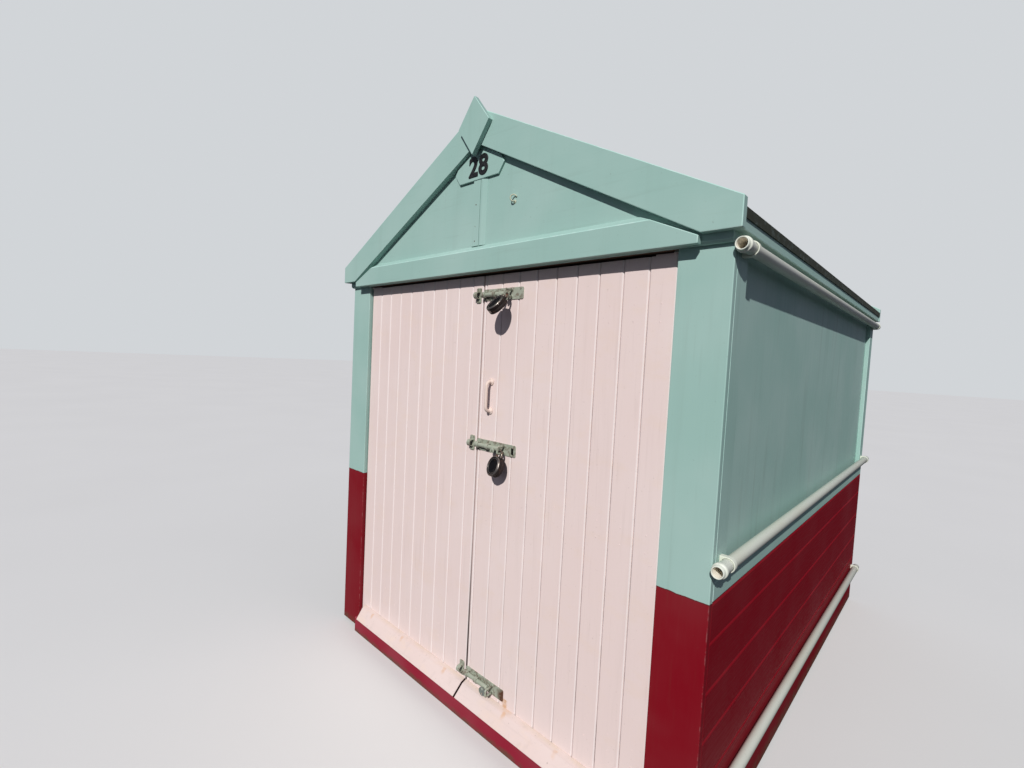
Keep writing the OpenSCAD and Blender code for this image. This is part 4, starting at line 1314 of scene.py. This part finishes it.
# ---------------------------------------------------------------- gable fittings
def numerals():
    """Plain black figures on the hexagonal plate."""
    data = bpy.data.curves.new("numerals", "FONT")
    data.body = "28"
    data.size = 98 * MM
    data.align_x = "CENTER"
    data.align_y = "CENTER"
    data.extrude = 1.6 * MM
    data.offset = 2.6 * MM
    data.bevel_depth = 0.4 * MM
    data.bevel_resolution = 1
    data.space_character = 1.06
    data.resolution_u = 6
    mesh = plain_mesh(placed("numerals", data))
    lo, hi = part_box("number_plate")
    mesh.transform(facing_front(0, lo.y - 1.2 * MM, (lo.z + hi.z) / 2 - 16 * MM))
    s = Shader("figure_black")
    tone = s.over(srgb(16, 16, 18), srgb(44, 44, 44), s.noise(s.place, 160.0, 4.0), 0.35, 0.7)
    mesh.materials.clear()
    mesh.materials.append(s.done(tone, 0.42))
    show("numerals", mesh, "hut")


def gable_hook():
    """A screwed cup hook in the gable panel."""
    coat = painted_steel("hook_paint", srgb(196, 200, 176), 0.1)
    x, y, z = 183 * MM, GABLE_FACE, 1918 * MM
    neck, bend = y - 8 * MM, 11 * MM
    bm = bmesh.new()
    add_lathe(bm, [(0, 0), (7, 0), (6.4, 1.4), (3, 2.2), (0, 2.2)], facing_front(x, y, z), 20)
    path = [Vector((x, y, z)), Vector((x, neck, z))]
    path += arc((x, neck, z + bend), bend, 270, 20, ((0.8, 0.6, 0), (0, 0, 1)), 18)[1:]
    add_tube(bm, path, 2.4, 10)
    show("gable-hook", keep_mesh("hook", bm, (coat,)), "hut")


def strip_nails():
    """Three rusty nails in the gable's strip."""
    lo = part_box("gable_strip")[0]
    rusty = painted_steel("strip_nail", srgb(150, 172, 160), 0.9)
    points = [(lo.x + 17 * MM, lo.y + 0.1 * MM, lo.z + up * MM) for up in (18, 72, 150)]
    heads("strip-nails", points, 2.6, 0.8, rusty, "hut")


# ---------------------------------------------------------------- camera, light, floor
def camera():
    """The photograph's viewpoint, from a camera fitted to the hut's own edges."""
    place = Vector((1.343, -2.425, 1.384))
    look = Vector((-0.68274, 0.72878, -0.05240)).normalized()
    right = Vector((0.72702, 0.68474, 0.05071))
    right = (right - look * right.dot(look)).normalized()
    up = right.cross(look)
    data = bpy.data.cameras.new("camera")
    data.sensor_width = 36.0
    data.lens = 16.96
    data.clip_start = 0.02
    data.clip_end = 200.0
    viewer = placed("camera", data)
    turn = Matrix((right, up, -look)).transposed().to_4x4()
    viewer.matrix_world = Matrix.Translation(place) @ turn
    bpy.context.scene.camera = viewer


def light():
    """A high key lamp before the doors, a faint even fill and a pale backdrop."""
    sun = bpy.data.lights.new("key", "SUN")
    sun.energy = 3.45
    sun.angle = math.radians(0.9)
    sun.color = (1.0, 0.985, 0.965)
    lamp = placed("key", sun)
    lamp.rotation_euler = Vector((-0.46, 1.0, -0.80)).to_track_quat("-Z", "Y").to_euler()
    world = bpy.data.worlds.new("studio")
    world.use_nodes = True
    tree = world.node_tree
    fill = tree.nodes["Background"]
    wire(tree, fill, {"Color": (0.75, 0.78, 1.0, 1.0), "Strength": 0.24})
    backdrop = add_node(tree, "ShaderNodeBackground", {"Color": (0.80, 0.83, 0.86, 1.0), "Strength": 0.80})
    seen = add_node(tree, "ShaderNodeLightPath", {})["Is Camera Ray"]
    mix = add_node(tree, "ShaderNodeMixShader", {0: seen, 1: fill.outputs[0], 2: backdrop[0]})
    wire(tree, tree.nodes["World Output"], {"Surface": mix[0]})
    bpy.context.scene.world = world
    bpy.context.scene.view_settings.view_transform = "Standard"


def studio_floor():
    """A wide floor that is pale to the camera and dark to the light it throws back."""
    mesh = bpy.data.meshes.new("studio_floor")
    r = 60.0
    mesh.from_pydata([(-r, -r, 0), (r, -r, 0), (r, r, 0), (-r, r, 0)], [], [(0, 1, 2, 3)])
    s = Shader("studio_floor")
    seen = s.add("ShaderNodeLightPath", {})["Is Camera Ray"]
    tone = s.blend(s.noise(s.place, 0.6, 2.0), srgb(226, 226, 224), srgb(232, 232, 230))
    mesh.materials.append(s.done(s.blend(seen, srgb(62, 64, 68), tone), 0.9, gloss=0.1))
    placed("studio_floor", mesh)


camera()
light()
studio_floor()
walls_and_gable()
wall_sheets()
lower_cladding()
floor_boards()
inside_timber()
roof()
leaf("left", LEFT_LEAF, strip=56 * MM)
leaf("right", RIGHT_LEAF, strip=13.5 * MM)
weatherboards()
bolt_housings()
slot_shade_sheet()
bolt_keeps()
bolt_rods()
padlock("padlock_middle", BOLTS["middle"], out=20, swing=-20, turn=-14)
padlock("padlock_top", BOLTS["top"], out=29, swing=-42, turn=-16)
pull_handle()
pivots()
pipes()
numerals()
gable_hook()
strip_nails()
